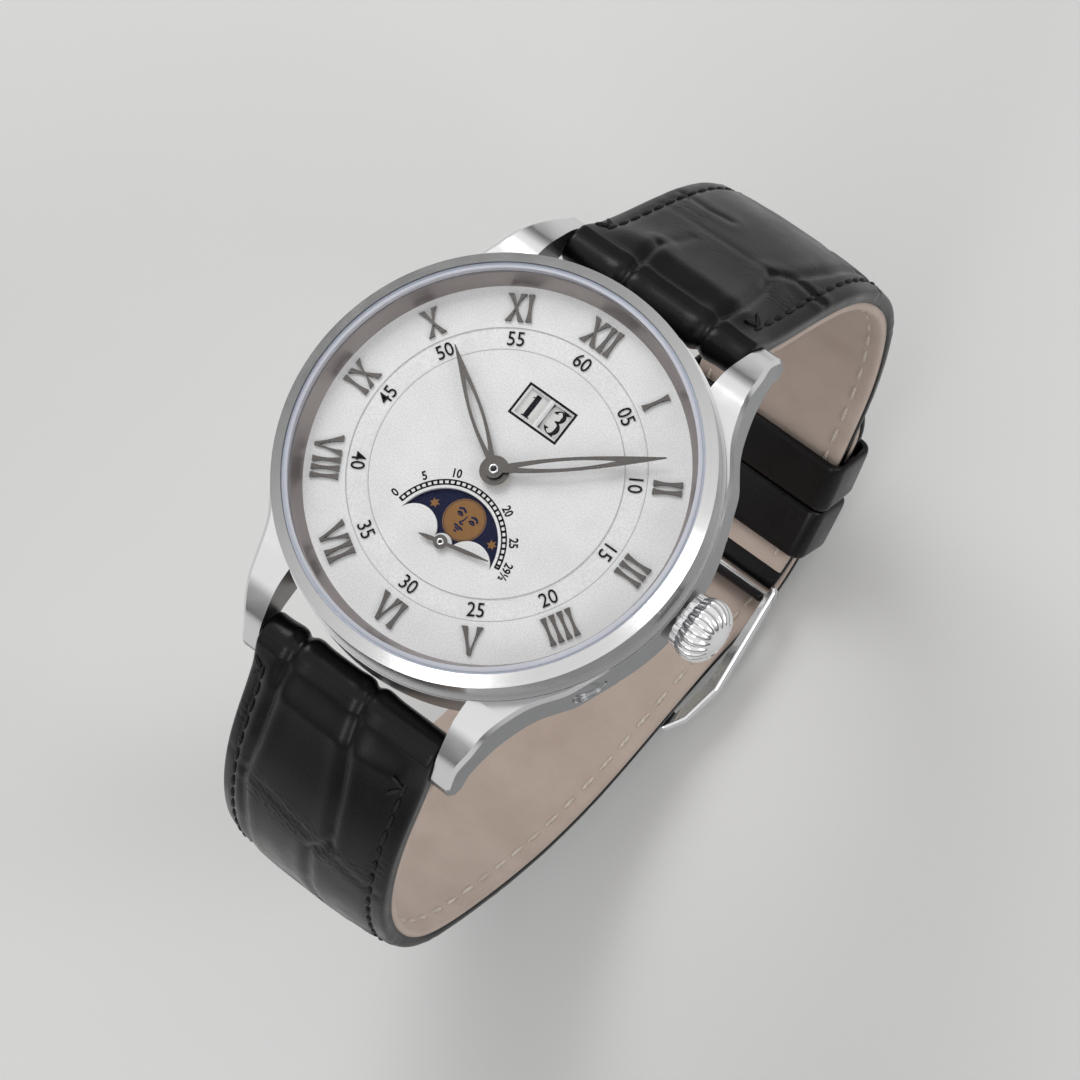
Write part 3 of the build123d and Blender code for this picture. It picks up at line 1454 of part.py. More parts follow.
# Bridges: flat plates standing on the rim of the main plate
bridge_radius = movement_radius - seat_gap * 2
screw_places = [moved(centre, screw_circle, angle) for angle in bridge_screw_angles]
cock_direction = direction_of(centre, balance_centre)
with BuildPart() as barrel_bridge:
    with BuildSketch(Plane.XY.offset(bridge_bottom)):
        Circle(bridge_radius)
        Polygon(
            (-movement_radius, -movement_radius), (movement_radius, -movement_radius),
            (movement_radius, bridge_split_low + bridge_slit),
            (bridge_split_x, bridge_split_low + bridge_slit),
            (bridge_split_x, bridge_split_high + bridge_slit),
            (-movement_radius, bridge_split_high + bridge_slit),
            mode=Mode.SUBTRACT,
        )
        with Locations(crown_wheel_centre):
            Circle(contrate_radius + contrate_wall / 2 + running_gap, mode=Mode.SUBTRACT)
        with Locations(barrel_centre):
            Circle(barrel_arbor_radius + running_gap, mode=Mode.SUBTRACT)
    extrude(amount=bridge_thickness)
    with BuildSketch(Plane.XY.offset(winding_wheel_bottom)):
        with Locations(click_pivot):
            Circle(screw_radius)
    extrude(amount=bridge_bottom - winding_wheel_bottom)
barrel_bridge.part.label = "barrel_bridge"
export_step(barrel_bridge.part, "parts/barrel_bridge.step")

train_pivots = (
    (centre, centre_arbor_radius), (third_centre, arbor_radius), (seconds_centre, seconds_arbor_radius),
    (escape_centre, pivot_radius),
)
with BuildPart() as train_bridge:
    with BuildSketch(Plane.XY.offset(bridge_bottom)):
        Circle(bridge_radius)
        Polygon(
            (-movement_radius, movement_radius), (-movement_radius, -movement_radius),
            moved(centre, movement_radius, train_bridge_edge_angle),
            moved(balance_centre, balance_radius, -90),
            (-bridge_split_x * train_bridge_share, -bridge_split_x),
            (-bridge_split_x * train_bridge_share, bridge_split_high), (bridge_split_x, bridge_split_high),
            (bridge_split_x, bridge_split_low), (movement_radius, bridge_split_low),
            (movement_radius, movement_radius), mode=Mode.SUBTRACT,
        )
        with Locations(balance_centre):
            Circle(balance_radius + bridge_slit * 2, mode=Mode.SUBTRACT)
        for place, radius in train_pivots:
            with Locations(place):
                Circle(jewel_radius, mode=Mode.SUBTRACT)
    extrude(amount=bridge_thickness)
train_bridge.part.label = "train_bridge"
export_step(train_bridge.part, "parts/train_bridge.step")

cock_top = bridge_bottom - cock_gap
with BuildPart() as balance_cock:
    with BuildSketch(Plane((0, 0, cock_top), x_dir=(
        cos(radians(cock_direction)), sin(radians(cock_direction)), 0,
    ))):
        Circle(bridge_radius)
        with Locations((hypot(*balance_centre), 0)):
            Rectangle(movement_radius * 2, movement_radius * 2, align=(Align.MAX, Align.CENTER),
                      mode=Mode.SUBTRACT)
        with Locations((0, movement_radius + cock_width / 2), (0, -movement_radius - cock_width / 2)):
            Rectangle(movement_radius * 2, movement_radius * 2, mode=Mode.SUBTRACT)
        with Locations((hypot(*balance_centre), 0)):
            Circle(cock_width / 2)
            Circle(jewel_radius, mode=Mode.SUBTRACT)
    extrude(amount=-cock_thickness)
    with BuildSketch(Plane((0, 0, bridge_top), x_dir=(
        cos(radians(cock_direction)), sin(radians(cock_direction)), 0,
    ))):
        Circle(bridge_radius)
        Circle(well_radius, mode=Mode.SUBTRACT)
        with Locations((0, movement_radius + cock_width / 2), (0, -movement_radius - cock_width / 2)):
            Rectangle(movement_radius * 2, movement_radius * 2, mode=Mode.SUBTRACT)
        with Locations((-movement_radius, 0)):
            Rectangle(movement_radius * 2, movement_radius * 2, mode=Mode.SUBTRACT)
    extrude(amount=cock_top - bridge_top)
balance_cock.part.label = "balance_cock"
export_step(balance_cock.part, "parts/balance_cock.step")


# Jewels, pressed into the bridges, and the bridge screws
with BuildPart() as jewels:
    for place, radius in train_pivots:
        with BuildSketch(Plane((*place, bridge_top))):
            Circle(jewel_radius)
            Circle(radius + running_gap, mode=Mode.SUBTRACT)
        extrude(amount=-jewel_thickness)
    with BuildSketch(Plane((*balance_centre, cock_top))):
        Circle(jewel_radius)
        Circle(pivot_radius + running_gap, mode=Mode.SUBTRACT)
    extrude(amount=-jewel_thickness)
jewels.part.label = "jewels"
export_step(jewels.part, "parts/jewels.step")

with BuildPart() as movement_screws:
    for place in screw_places:
        with BuildSketch(Plane((*place, bridge_bottom))):
            Circle(screw_head_radius)
        extrude(amount=-screw_head_height)
        with BuildSketch(Plane((*place, bridge_bottom - screw_head_height))):
            Rectangle(screw_head_radius * 2, screw_slot)
        extrude(amount=screw_slot, mode=Mode.SUBTRACT)
movement_screws.part.label = "movement_screws"
export_step(movement_screws.part, "parts/movement_screws.step")


# Winding rotor on its bearing
flange_bottom = bridge_bottom - rotor_gap + rotor_plate_height
rotor_plate_top = bridge_bottom - rotor_gap
rotor_bearing = turned((
    (0, bridge_bottom), (rotor_neck_radius, bridge_bottom),
    (rotor_neck_radius, rotor_plate_top + rotor_step),
    (rotor_flange_radius, rotor_plate_top + rotor_step),
    (rotor_flange_radius, rotor_plate_top + running_gap),
    (rotor_post_radius, rotor_plate_top + running_gap),
    (rotor_post_radius, rotor_plate_top - rotor_plate_height - running_gap),
    (rotor_cap_radius, rotor_plate_top - rotor_plate_height - running_gap),
    (rotor_cap_radius, rotor_plate_top - rotor_plate_height - running_gap - rotor_cap_height),
    (0, rotor_plate_top - rotor_plate_height - running_gap - rotor_cap_height),
))
rotor_bearing.part.label = "rotor_bearing"
export_step(rotor_bearing.part, "parts/rotor_bearing.step")

with BuildPart() as rotor:
    with BuildSketch(Plane.XY.offset(rotor_plate_top)):
        Circle(rotor_radius)
        with Locations((0, rotor_radius)):
            Rectangle(rotor_radius * 2, rotor_radius * 2, mode=Mode.SUBTRACT)
        Circle(rotor_hub_radius + rotor_window_radius / 2)
        Circle(rotor_post_radius + running_gap, mode=Mode.SUBTRACT)
        for turn in rotor_window_angles:
            with Locations(moved(centre, rotor_window_reach, turn)):
                Circle(rotor_window_radius, mode=Mode.SUBTRACT)
    extrude(amount=-rotor_plate_height)
    with BuildSketch(Plane.XY.offset(rotor_plate_top + rotor_rim_lift)):
        Circle(rotor_radius)
        Circle(rotor_radius - rotor_weight_width, mode=Mode.SUBTRACT)
        with Locations((0, rotor_radius)):
            Rectangle(rotor_radius * 2, rotor_radius * 2, mode=Mode.SUBTRACT)
    extrude(amount=-rotor_weight_height)
rotor.part.label = "rotor"
export_step(rotor.part, "parts/rotor.step")


# Strap: both pieces follow a seam line between the leather and its lining
def depth_width(height):
    """Strap width at a height: widest at the lugs, narrowing steadily towards the buckle."""
    share = min(1, max(0, (bar_height - height) / strap_taper_depth))
    return strap_lug_width - (strap_lug_width - strap_buckle_width) * share


def seam_points(shares, side):
    """Seam points in the plane of twelve and six, from their shares outward and down."""
    return [
        (0, side * lug_bar_reach * outward, bar_height - (strap_drop - lug_bar_drop) * down)
        for outward, down in shares
    ]


with BuildLine() as upper_seam:
    Spline(*seam_points(upper_seam_shares, 1))
upper_line = upper_seam.edges()[0]
tail_offset = leather_edge + keeper_gap + lining_tail
tail_points = []
for share in tail_follow_shares:
    here = upper_line.position_at(share)
    along = upper_line.tangent_at(share)
    tail_points.append((0, here.Y - along.Z * tail_offset, here.Z + along.Y * tail_offset))
with BuildLine() as lower_seam:
    Spline(*seam_points(lower_seam_shares, -1), *tail_points)
lower_line = lower_seam.edges()[0]


def seam_plane(line, share, side):
    """A plane across the strap, with local y pointing away from the wrist."""
    return Plane(line.position_at(share), x_dir=(-side, 0, 0), z_dir=line.tangent_at(share))


def leather_layer(line, side, end_edge, fade):
    """The padded outer layer, lofted through crowned sections along the seam."""
    with BuildPart() as piece:
        for share in station_shares:
            plane = seam_plane(line, share, side)
            width = depth_width(plane.origin.Z) / 2
            edge = leather_edge + (end_edge - leather_edge) * share
            crown_height_here = edge + (leather_crown - leather_edge) * max(0, 1 - share / fade)
            if share == 0:
                edge = crown_height_here = strap_end_radius
            rise = crown_height_here - edge
            shoulder = edge + rise * shoulder_share + crown_least
            with BuildSketch(plane):
                with BuildLine():
                    Polyline((-width, edge), (-width, 0), (width, 0), (width, edge))
                    Spline(
                        (width, edge), (width - stitch_margin, shoulder),
                        (0, edge + rise + crown_least * 2), (stitch_margin - width, shoulder),
                        (-width, edge),
                    )
                make_face()
        loft()
    return piece


def lining_layer(line, side, end_thickness):
    """The flat inner layer that lies on the wrist."""
    with BuildPart() as piece:
        for share in station_shares:
            plane = seam_plane(line, share, side)
            thickness = lining_thickness + (end_thickness - lining_thickness) * share
            with BuildSketch(plane):
                with Locations((0, -thickness / 2)):
                    Rectangle(depth_width(plane.origin.Z), thickness)
        loft()
    return piece


def bar_roll(place, radius, width):
    """A round bar shape along X, centred at a (y, z) place."""
    with BuildPart() as piece:
        with BuildSketch(Plane.YZ.offset(-width / 2)):
            with Locations(place):
                Circle(radius)
        extrude(amount=width)
    return piece


buckle_place = (upper_line.position_at(1).Y - buckle_bar_inset, upper_line.position_at(1).Z)
hinge_slot = tongue_width + strap_clearance * 2
with BuildPart() as strap_upper_leather:
    add(leather_layer(upper_line, 1, leather_edge, upper_fade_share).part)
    add(bar_roll((lug_bar_reach, bar_height), strap_end_radius, strap_lug_width).part)
    add(bar_roll(buckle_place, buckle_loop_radius, strap_buckle_width).part)
    add(bar_roll((lug_bar_reach, bar_height), spring_bar_radius + seat_gap, strap_lug_width).part,
        mode=Mode.SUBTRACT)
    add(bar_roll(buckle_place, buckle_bar_radius + seat_gap, strap_buckle_width).part, mode=Mode.SUBTRACT)
    add(bar_roll(buckle_place, tongue_ring_radius + strap_clearance, hinge_slot).part, mode=Mode.SUBTRACT)
strap_upper_leather.part.label = "strap_upper_leather"
export_step(strap_upper_leather.part, "parts/strap_upper_leather.step")

with BuildPart() as strap_upper_lining:
    add(lining_layer(upper_line, 1, lining_thickness).part)
    add(
        bar_roll((lug_bar_reach, bar_height), strap_end_radius, strap_lug_width * 2).part,
        mode=Mode.SUBTRACT,
    )
    add(bar_roll(buckle_place, buckle_loop_radius, strap_buckle_width * 2).part, mode=Mode.SUBTRACT)
    add(bar_roll(buckle_place, tongue_ring_radius + strap_clearance, hinge_slot).part, mode=Mode.SUBTRACT)
strap_upper_lining.part.label = "strap_upper_lining"
export_step(strap_upper_lining.part, "parts/strap_upper_lining.step")


def strap_holes():
    """The buckle hole in use, long enough for the tongue, and the free holes behind it."""
    with BuildPart() as piece:
        with BuildSketch(Plane.XY.offset(buckle_place[1] + overrun)):
            with Locations((0, buckle_place[0] + tongue_ring_radius - tongue_slot_length / 2)):
                Rectangle(tongue_slot_width, tongue_slot_length)
        extrude(amount=-overrun * 3)
        for index in range(hole_count):
            place = lower_line.position_at(hole_first_share + hole_step_share * index)
            with BuildSketch(Plane(place, z_dir=lower_line.tangent_at(
                hole_first_share + hole_step_share * index).cross(Vector(1, 0, 0)))):
                Circle(hole_radius)
            extrude(amount=overrun, both=True)
    return piece


with BuildPart() as strap_lower_leather:
    add(leather_layer(lower_line, -1, leather_tail, lower_fade_share).part)
    add(bar_roll((-lug_bar_reach, bar_height), strap_end_radius, strap_lug_width).part)
    add(bar_roll((-lug_bar_reach, bar_height), spring_bar_radius + seat_gap, strap_lug_width).part,
        mode=Mode.SUBTRACT)
    add(strap_holes().part, mode=Mode.SUBTRACT)
strap_lower_leather.part.label = "strap_lower_leather"
export_step(strap_lower_leather.part, "parts/strap_lower_leather.step")

with BuildPart() as strap_lower_lining:
    add(lining_layer(lower_line, -1, lining_tail).part)
    add(
        bar_roll((-lug_bar_reach, bar_height), strap_end_radius, strap_lug_width * 2).part,
        mode=Mode.SUBTRACT,
    )
    add(strap_holes().part, mode=Mode.SUBTRACT)
strap_lower_lining.part.label = "strap_lower_lining"
export_step(strap_lower_lining.part, "parts/strap_lower_lining.step")


# Keepers: leather bands round both layers of the strap
stack_inner = lining_thickness + keeper_clearance
stack_outer = tail_offset + leather_tail + keeper_clearance


def keeper(reach):
    """A closed band, a set distance along the short piece from the buckle bar."""
    plane = seam_plane(upper_line, 1 - reach / upper_line.length, 1)
    width = depth_width(plane.origin.Z) / 2 + keeper_clearance
    with BuildPart() as piece:
        with BuildSketch(plane):
            with Locations((0, (stack_outer - stack_inner) / 2)):
                RectangleRounded(
                    (width + keeper_wall) * 2, stack_outer + stack_inner + keeper_wall * 2, keeper_wall,
                )
                Rectangle(width * 2, stack_outer + stack_inner, mode=Mode.SUBTRACT)
        extrude(amount=keeper_length / 2, both=True)
    return piece


keeper_fixed = keeper(keeper_fixed_reach)
keeper_fixed.part.label = "keeper_fixed"
export_step(keeper_fixed.part, "parts/keeper_fixed.step")

keeper_free = keeper(keeper_free_reach)
keeper_free.part.label = "keeper_free"
export_step(keeper_free.part, "parts/keeper_free.step")


# Buckle: frame, tongue and bar; the frame's plane leans away from the wrist
def buckle_plane(height_offset):
    """A plane through the buckle bar; local x runs across the strap and local y towards the end bar."""
    lean = radians(buckle_tilt)
    away = Vector(0, sin(lean), -cos(lean))
    origin = Vector(0, *buckle_place) + away * height_offset
    return Plane(origin, x_dir=(1, 0, 0), z_dir=(0, sin(lean), -cos(lean)))


with BuildPart() as buckle_frame:
    narrow, wide, end = buckle_hinge_width / 2, buckle_wide_width / 2, buckle_end_width / 2
    shoulder, shoulder_reach = buckle_shoulder_width / 2, buckle_length - buckle_end_bar
    inner = strap_buckle_width / 2 + strap_clearance
    start = -buckle_loop_radius
    with BuildSketch(buckle_plane(-buckle_thickness / 2)):
        with BuildLine():
            FilletPolyline(
                (narrow, start), (wide, buckle_wide_reach), (shoulder, shoulder_reach), (end, buckle_length),
                (-end, buckle_length), (-shoulder, shoulder_reach), (-wide, buckle_wide_reach),
                (-narrow, start),
                radius=buckle_corner_radius, close=True,
            )
        make_face()
    extrude(amount=buckle_thickness)
    flat_faces = buckle_frame.faces().sort_by(Axis((0, 0, 0), tuple(buckle_plane(0).z_dir)))
    fillet(flat_faces[0].edges() + flat_faces[-1].edges(), radius=buckle_rounding)
    with BuildSketch(buckle_plane(-buckle_thickness / 2)):
        with BuildLine():
            Polyline(
                (-inner, start - overrun), (inner, start - overrun), (inner, 0),
                (inner + buckle_inner_flare, buckle_wide_reach), (inner, shoulder_reach),
                (-inner, shoulder_reach), (-inner - buckle_inner_flare, buckle_wide_reach),
                (-inner, 0), close=True,
            )
        make_face()
    extrude(amount=buckle_thickness, mode=Mode.SUBTRACT)
    add(
        bar_roll(buckle_place, buckle_bar_radius + running_gap, buckle_hinge_width * 2).part,
        mode=Mode.SUBTRACT,
    )
buckle_frame.part.label = "buckle_frame"
export_step(buckle_frame.part, "parts/buckle_frame.step")

with BuildPart() as buckle_tongue:
    half = tongue_thickness / 2
    plane = Plane(
        Vector(-tongue_width / 2, *buckle_place), x_dir=buckle_plane(0).y_dir, z_dir=(1, 0, 0),
    )
    with BuildSketch(plane):
        Circle(tongue_ring_radius)
        with BuildLine():
            Polyline(
                (0, -tongue_ring_radius), (-tongue_ring_radius * tongue_back_share, 0),
                (tongue_knee_reach - half * 2, tongue_drop + half),
                (tongue_knee_reach + half, tongue_drop + half),
                (buckle_length, tongue_tip_drop + half), (buckle_length, tongue_tip_drop - half),
                (tongue_knee_reach + half, tongue_drop - half), (tongue_ring_radius, 0), close=True,
            )
        make_face()
        Circle(buckle_bar_radius + running_gap, mode=Mode.SUBTRACT)
    extrude(amount=tongue_width)
buckle_tongue.part.label = "buckle_tongue"
export_step(buckle_tongue.part, "parts/buckle_tongue.step")

buckle_bar = bar_roll(buckle_place, buckle_bar_radius, buckle_hinge_width - seat_gap)
buckle_bar.part.label = "buckle_bar"
export_step(buckle_bar.part, "parts/buckle_bar.step")

with BuildPart() as spring_bars:
    for side in (1, -1):
        place = (side * lug_bar_reach, bar_height)
        add(bar_roll(place, spring_bar_radius, strap_lug_width).part)
        add(bar_roll(place, bar_tip_radius, lug_gap + bar_tip_length * 2 - running_gap).part)
spring_bars.part.label = "spring_bars"
export_step(spring_bars.part, "parts/spring_bars.step")
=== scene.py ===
"""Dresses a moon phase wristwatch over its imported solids, in metres and in the same frame.

+Z leaves through the crystal, +Y points at twelve and +X at the crown. Sections follow the
order in which the watch is put together, and sizes inside them are in millimetres.
"""
import json
from math import atan2, cos, hypot, pi, radians, sin

import bmesh
import bpy
import numpy as np
from mathutils import Matrix, Vector

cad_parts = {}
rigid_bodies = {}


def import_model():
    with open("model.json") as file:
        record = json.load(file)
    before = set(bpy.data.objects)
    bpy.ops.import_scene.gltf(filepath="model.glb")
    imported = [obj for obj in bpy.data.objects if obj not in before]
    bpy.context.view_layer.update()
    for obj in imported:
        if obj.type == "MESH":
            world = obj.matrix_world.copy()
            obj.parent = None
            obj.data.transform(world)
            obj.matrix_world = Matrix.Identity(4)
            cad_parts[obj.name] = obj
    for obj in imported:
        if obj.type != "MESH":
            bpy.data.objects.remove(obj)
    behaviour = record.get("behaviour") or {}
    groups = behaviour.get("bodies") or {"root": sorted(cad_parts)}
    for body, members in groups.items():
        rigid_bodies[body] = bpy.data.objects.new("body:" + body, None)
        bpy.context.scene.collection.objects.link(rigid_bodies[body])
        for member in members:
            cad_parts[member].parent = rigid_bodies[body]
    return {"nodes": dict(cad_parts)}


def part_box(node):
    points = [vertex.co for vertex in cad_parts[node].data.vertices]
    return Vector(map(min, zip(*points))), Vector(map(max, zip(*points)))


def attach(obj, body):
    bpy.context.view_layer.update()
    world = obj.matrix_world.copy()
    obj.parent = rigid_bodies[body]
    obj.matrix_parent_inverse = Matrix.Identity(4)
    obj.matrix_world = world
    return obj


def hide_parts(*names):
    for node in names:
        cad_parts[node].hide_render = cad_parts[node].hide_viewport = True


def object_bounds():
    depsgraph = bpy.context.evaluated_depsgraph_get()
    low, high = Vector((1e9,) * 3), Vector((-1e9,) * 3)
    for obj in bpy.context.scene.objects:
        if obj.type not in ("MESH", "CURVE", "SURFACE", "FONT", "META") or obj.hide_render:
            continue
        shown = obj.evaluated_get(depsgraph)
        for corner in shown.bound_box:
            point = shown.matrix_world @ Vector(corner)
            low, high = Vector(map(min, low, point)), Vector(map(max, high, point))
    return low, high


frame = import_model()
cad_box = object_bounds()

# Studio
# A camera at the photograph's angle, a plain pale table under the closed strap and three soft
# lamps. The room's fill light is even; what steel mirrors of it runs from dim to bright.
MM = 0.001


def add_node(tree, kind, inputs=None, **settings):
    """A node with its settings; its inputs take values, or are joined to other nodes' outputs."""
    node = tree.nodes.new(kind)
    for name, value in settings.items():
        setattr(node, name, value)
    for name, value in (inputs or {}).items():
        if isinstance(value, bpy.types.NodeSocket):
            tree.links.new(value, node.inputs[name])
        else:
            node.inputs[name].default_value = value
    return node


def linear(code):
    """A colour written as six hex digits in sRGB, as linear light."""
    shares = [int(code[place:place + 2], 16) / 255 for place in (0, 2, 4)]
    return tuple(s / 12.92 if s <= 0.04045 else ((s + 0.055) / 1.055) ** 2.4 for s in shares) + (1,)

class Finish:
    """The nodes of a new material, or of the room, and the kinds of node that this file uses."""

    def __init__(self, name, owner=None):
        self.owner = owner or bpy.data.materials.new(name)
        self.owner.use_nodes = True
        self.tree = self.owner.node_tree
        self.tree.nodes.clear()
        self.output = self.node("OutputWorld" if owner else "OutputMaterial")
        self.coordinates = self.node("TexCoord").outputs
        self.place = self.coordinates["Object"]

    def node(self, kind, inputs=None, **settings):
        return add_node(self.tree, "ShaderNode" + kind, inputs, **settings)

    def math(self, operation, *values, kind="Math"):
        return self.node(kind, dict(enumerate(values)), operation=operation).outputs[0]

    def in_mm(self):
        """The place on the object in millimetres."""
        return self.math("MULTIPLY", self.place, (1000, 1000, 1000), kind="VectorMath")

    def noise(self, place, scale, detail, **more):
        return self.node("TexNoise", {"Vector": place, "Scale": scale, "Detail": detail, **more}).outputs["Fac"]

    def between(self, value, low, high, start=0.0, end=1.0):
        """A value's way from start to end, spread from low to high."""
        return self.node("MapRange", {"Value": value, "From Min": start, "From Max": end,
                                      "To Min": low, "To Max": high}).outputs[0]

    def blend(self, share, low, high):
        """A mix of two numbers, or of two colours if one is written as hex digits."""
        kind = "RGBA" if isinstance(low, str) or isinstance(high, str) else "FLOAT"
        low, high = (linear(end) if isinstance(end, str) else end for end in (low, high))
        return self.node("Mix", {"Factor": share, "A": low, "B": high}, data_type=kind).outputs["Result"]

    def rising(self):
        """How level a face is: 0 on an upright face, 1 on one that looks straight up or down."""
        facing = self.node("NewGeometry").outputs["Normal"]
        return self.math("ABSOLUTE", self.node("SeparateXYZ", {"Vector": facing}).outputs["Z"])

    def bump(self, height, depth, **more):
        """A bump of a depth in millimetres."""
        return self.node("Bump", {"Height": height, "Distance": depth * MM, **more}).outputs[0]

    def surface(self, tone, roughness, normal=None, **more):
        """A principled shader. Underscores in the names of its other inputs stand for spaces."""
        inputs = {"Base Color": tone, "Roughness": roughness}
        if normal:
            inputs["Normal"] = normal
        inputs.update((name.replace("_", " "), value) for name, value in more.items())
        return self.node("BsdfPrincipled", inputs).outputs[0]

    def done(self, shader):
        self.tree.links.new(shader, self.output.inputs[0])
        return self.owner


def linked(name, data):
    """A new object in the scene."""
    thing = bpy.data.objects.new(name, data)
    bpy.context.scene.collection.objects.link(thing)
    return thing


def new_piece(name, points, faces, material=None, smooth=True):
    """A mesh piece from points in millimetres."""
    mesh = bpy.data.meshes.new(name)
    mesh.from_pydata([tuple(c * MM for c in p) for p in points], [], faces)
    mesh.validate()
    for face in mesh.polygons:
        face.use_smooth = smooth
    piece = linked(name, mesh)
    if material:
        mesh.materials.append(material)
    return piece


for leftover in list(bpy.data.objects):
    if leftover.type in {"CAMERA", "LIGHT"} or leftover.name == "Cube":
        bpy.data.objects.remove(leftover)

camera_data = bpy.data.cameras.new("camera")
camera_data.lens, camera_data.sensor_width = 133.33, 36
camera = linked("camera", camera_data)
across, downward, forward = (
    Vector((0.777, 0.60998, -0.15554)), Vector((0.56032, -0.78278, -0.27072)), Vector((-0.28689, 0.1232, -0.95001)),
)
turned = Matrix((across, -downward, -forward)).transposed().to_4x4()
camera.matrix_world = Matrix.Translation((0.11038, -0.04693, 0.35108)) @ turned
bpy.context.scene.camera = camera

floor_level, half = cad_box[0].z / MM, 3000
floor = new_piece("floor", [(x, y, floor_level) for x, y in ((-half, -half), (half, -half), (half, half),
                                                             (-half, half))], [(0, 1, 2, 3)])
finish = Finish("pale_table")
grain = finish.node("TexNoise", {"Scale": 90.0, "Detail": 3.0}).outputs["Fac"]
floor.data.materials.append(finish.done(finish.surface(finish.blend(grain, "E9E9E8", "F0F0EF"), 0.8)))

for name, place, size, power in (
    ("softbox_left", (-0.42, 0.28, 0.5), 0.36, 1.7), ("softbox_right", (0.5, 0.12, 0.35), 0.26, 0.75),
    ("softbox_front", (0.1, -0.62, 0.42), 0.28, 0.7),
):
    lamp_data = bpy.data.lights.new(name, "AREA")
    lamp_data.energy, lamp_data.size = power, size
    lamp = linked(name, lamp_data)
    lamp.matrix_world = Matrix.Translation(place) @ Vector(place).to_track_quat("Z", "Y").to_matrix().to_4x4()

world = bpy.data.worlds.new("room")
bpy.context.scene.world = world
room = Finish("room", world)
up = room.node("SeparateXYZ", {"Vector": room.coordinates["Generated"]}).outputs["Z"]
rays = room.node("LightPath").outputs
sharp = room.math("MAXIMUM", rays["Is Glossy Ray"], rays["Is Camera Ray"])
strength = room.blend(sharp, 0.46, room.between(up, 0.08, 1.0, 0.0, 0.5))
room.done(room.node("Background", {"Color": linear("F5F5F5"), "Strength": strength}).outputs[0])
bpy.context.scene.view_settings.view_transform = "Standard"


# Movement plates and bridges
# Brass blanks, nickel plated, with the mat grain of a pearled main plate and straight
# decorative stripes across the bridges; they are screwed together inside the holder ring.
def dress(material, *nodes):
    """Gives the nodes' objects their material."""
    for node in nodes:
        mesh = frame["nodes"][node].data
        if mesh.materials:
            for place in range(len(mesh.materials)):
                mesh.materials[place] = material
        else:
            mesh.materials.append(material)


def metal(name, colour, worn, roughness, grain=(3.0, 3.0, 3.0), depth=0.01, centre=None, spread=0.06, stripe=None,
          upright=None):
    """Metal with a grain given in lines per millimetre on each axis, or round a centre as (round, out, up)."""
    finish = Finish(name)
    place = spot = finish.in_mm()
    if centre:
        moved = finish.math("SUBTRACT", place, (*centre, 0), kind="VectorMath")
        part = finish.node("SeparateXYZ", {"Vector": moved}).outputs
        flat = finish.math("MULTIPLY", moved, (1, 1, 0), kind="VectorMath")
        reach = finish.node("VectorMath", {0: flat}, operation="LENGTH").outputs["Value"]
        angle = finish.math("ARCTAN2", part["Y"], part["X"])
        spot = finish.node("CombineXYZ", {"X": angle, "Y": reach, "Z": part["Z"]}).outputs[0]
    spot = finish.node("Mapping", {"Vector": spot, "Scale": grain}).outputs[0]
    height = lines = finish.noise(spot, 1.0, 4.0, Roughness=0.6)
    if stripe:
        band = finish.node("TexWave", {"Vector": place, "Scale": stripe, "Distortion": 0.2},
                           bands_direction="DIAGONAL").outputs["Fac"]
        height = finish.math("ADD", lines, band)
    tone = finish.blend(lines, worn, colour)
    # An upright tone is painted shade: faces that stand upright take that darker tone, which stands for a dark
    # reflection.
    if upright:
        tone = finish.blend(finish.between(finish.rising(), 0.0, 1.0, 0.2, 0.4), upright, tone)
    smudge = finish.noise(place, 0.35, 2.0)
    gloss = finish.between(smudge, roughness - spread / 2, roughness + spread, 0.3, 0.7)
    return finish.done(finish.surface(tone, gloss, finish.bump(height, depth, Strength=0.6), Metallic=1.0))


dress(metal("nickel_plate_mat", "C9C7C0", "B4B2AB", 0.34, (6, 6, 6), 0.02), "main_plate", "calendar_plate")
dress(metal("nickel_bridge_striped", "CFCDC6", "BBB9B2", 0.26, (1.5, 9, 3), 0.02, stripe=0.32),
      "barrel_bridge", "train_bridge", "balance_cock")
dress(metal("nickel_holder_turned", "C4C3BF", "B2B1AD", 0.3, (1.2, 12, 12), 0.01, centre=(0, 0)), "movement_holder")

# Going train
# Wheels stamped and cut from gilt brass, riveted on hardened steel pinions. The wheels keep
# a fine turned grain about their own arbors; the pinions are burnished.
def dress_turned(name, nodes, *look):
    """Gives each node a metal whose grain runs round the node's own middle."""
    for node in nodes:
        low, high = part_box(node)
        middle = (low + high) / 2 / MM
        dress(metal(name + node, *look, centre=(middle.x, middle.y)), node)


dress_turned("gilt_brass_", ("barrel", "centre_wheel", "third_wheel", "fourth_wheel", "minute_wheel", "hour_wheel",
                             "balance_wheel"), "D9B466", "C49C4E", 0.24, (1.5, 14, 6), 0.008)
dress_turned("snailed_steel_", ("ratchet_wheel", "crown_wheel", "escape_wheel", "winding_pinion", "sliding_pinion",
                                "cannon_pinion"), "B9BABC", "9C9DA0", 0.25, (1.5, 12, 8), 0.008)
dress(metal("hardened_steel", "AFB1B4", "94969A", 0.28, (5, 5, 5), 0.006), "winding_stem", "barrel_arbor", "click",
      "pallet_fork", "pusher_spring", "mainspring", "spring_bars", "rotor_bearing")
dress(metal("hairspring_alloy", "8E93A6", "6F7488", 0.22, (4, 4, 4), 0.004), "hairspring")
dress(metal("blued_screw", "2C4FA8", "1E3478", 0.2, (8, 8, 2), 0.004), "movement_screws")

# Jewels
# Red synthetic ruby, turned and polished, pressed into the plates: deep red with a bright rim.
def mottled(name, colour, other, roughness, scale, detail, depth=0.0, **more):
    """A material of two close tones in cloudy spots, which also stand up by a depth if it has one."""
    finish = Finish(name)
    cloud = finish.noise(finish.place, scale, detail)
    normal = finish.bump(cloud, depth, Strength=0.5) if depth else None
    return finish.done(finish.surface(finish.blend(cloud, colour, other), roughness, normal, **more))


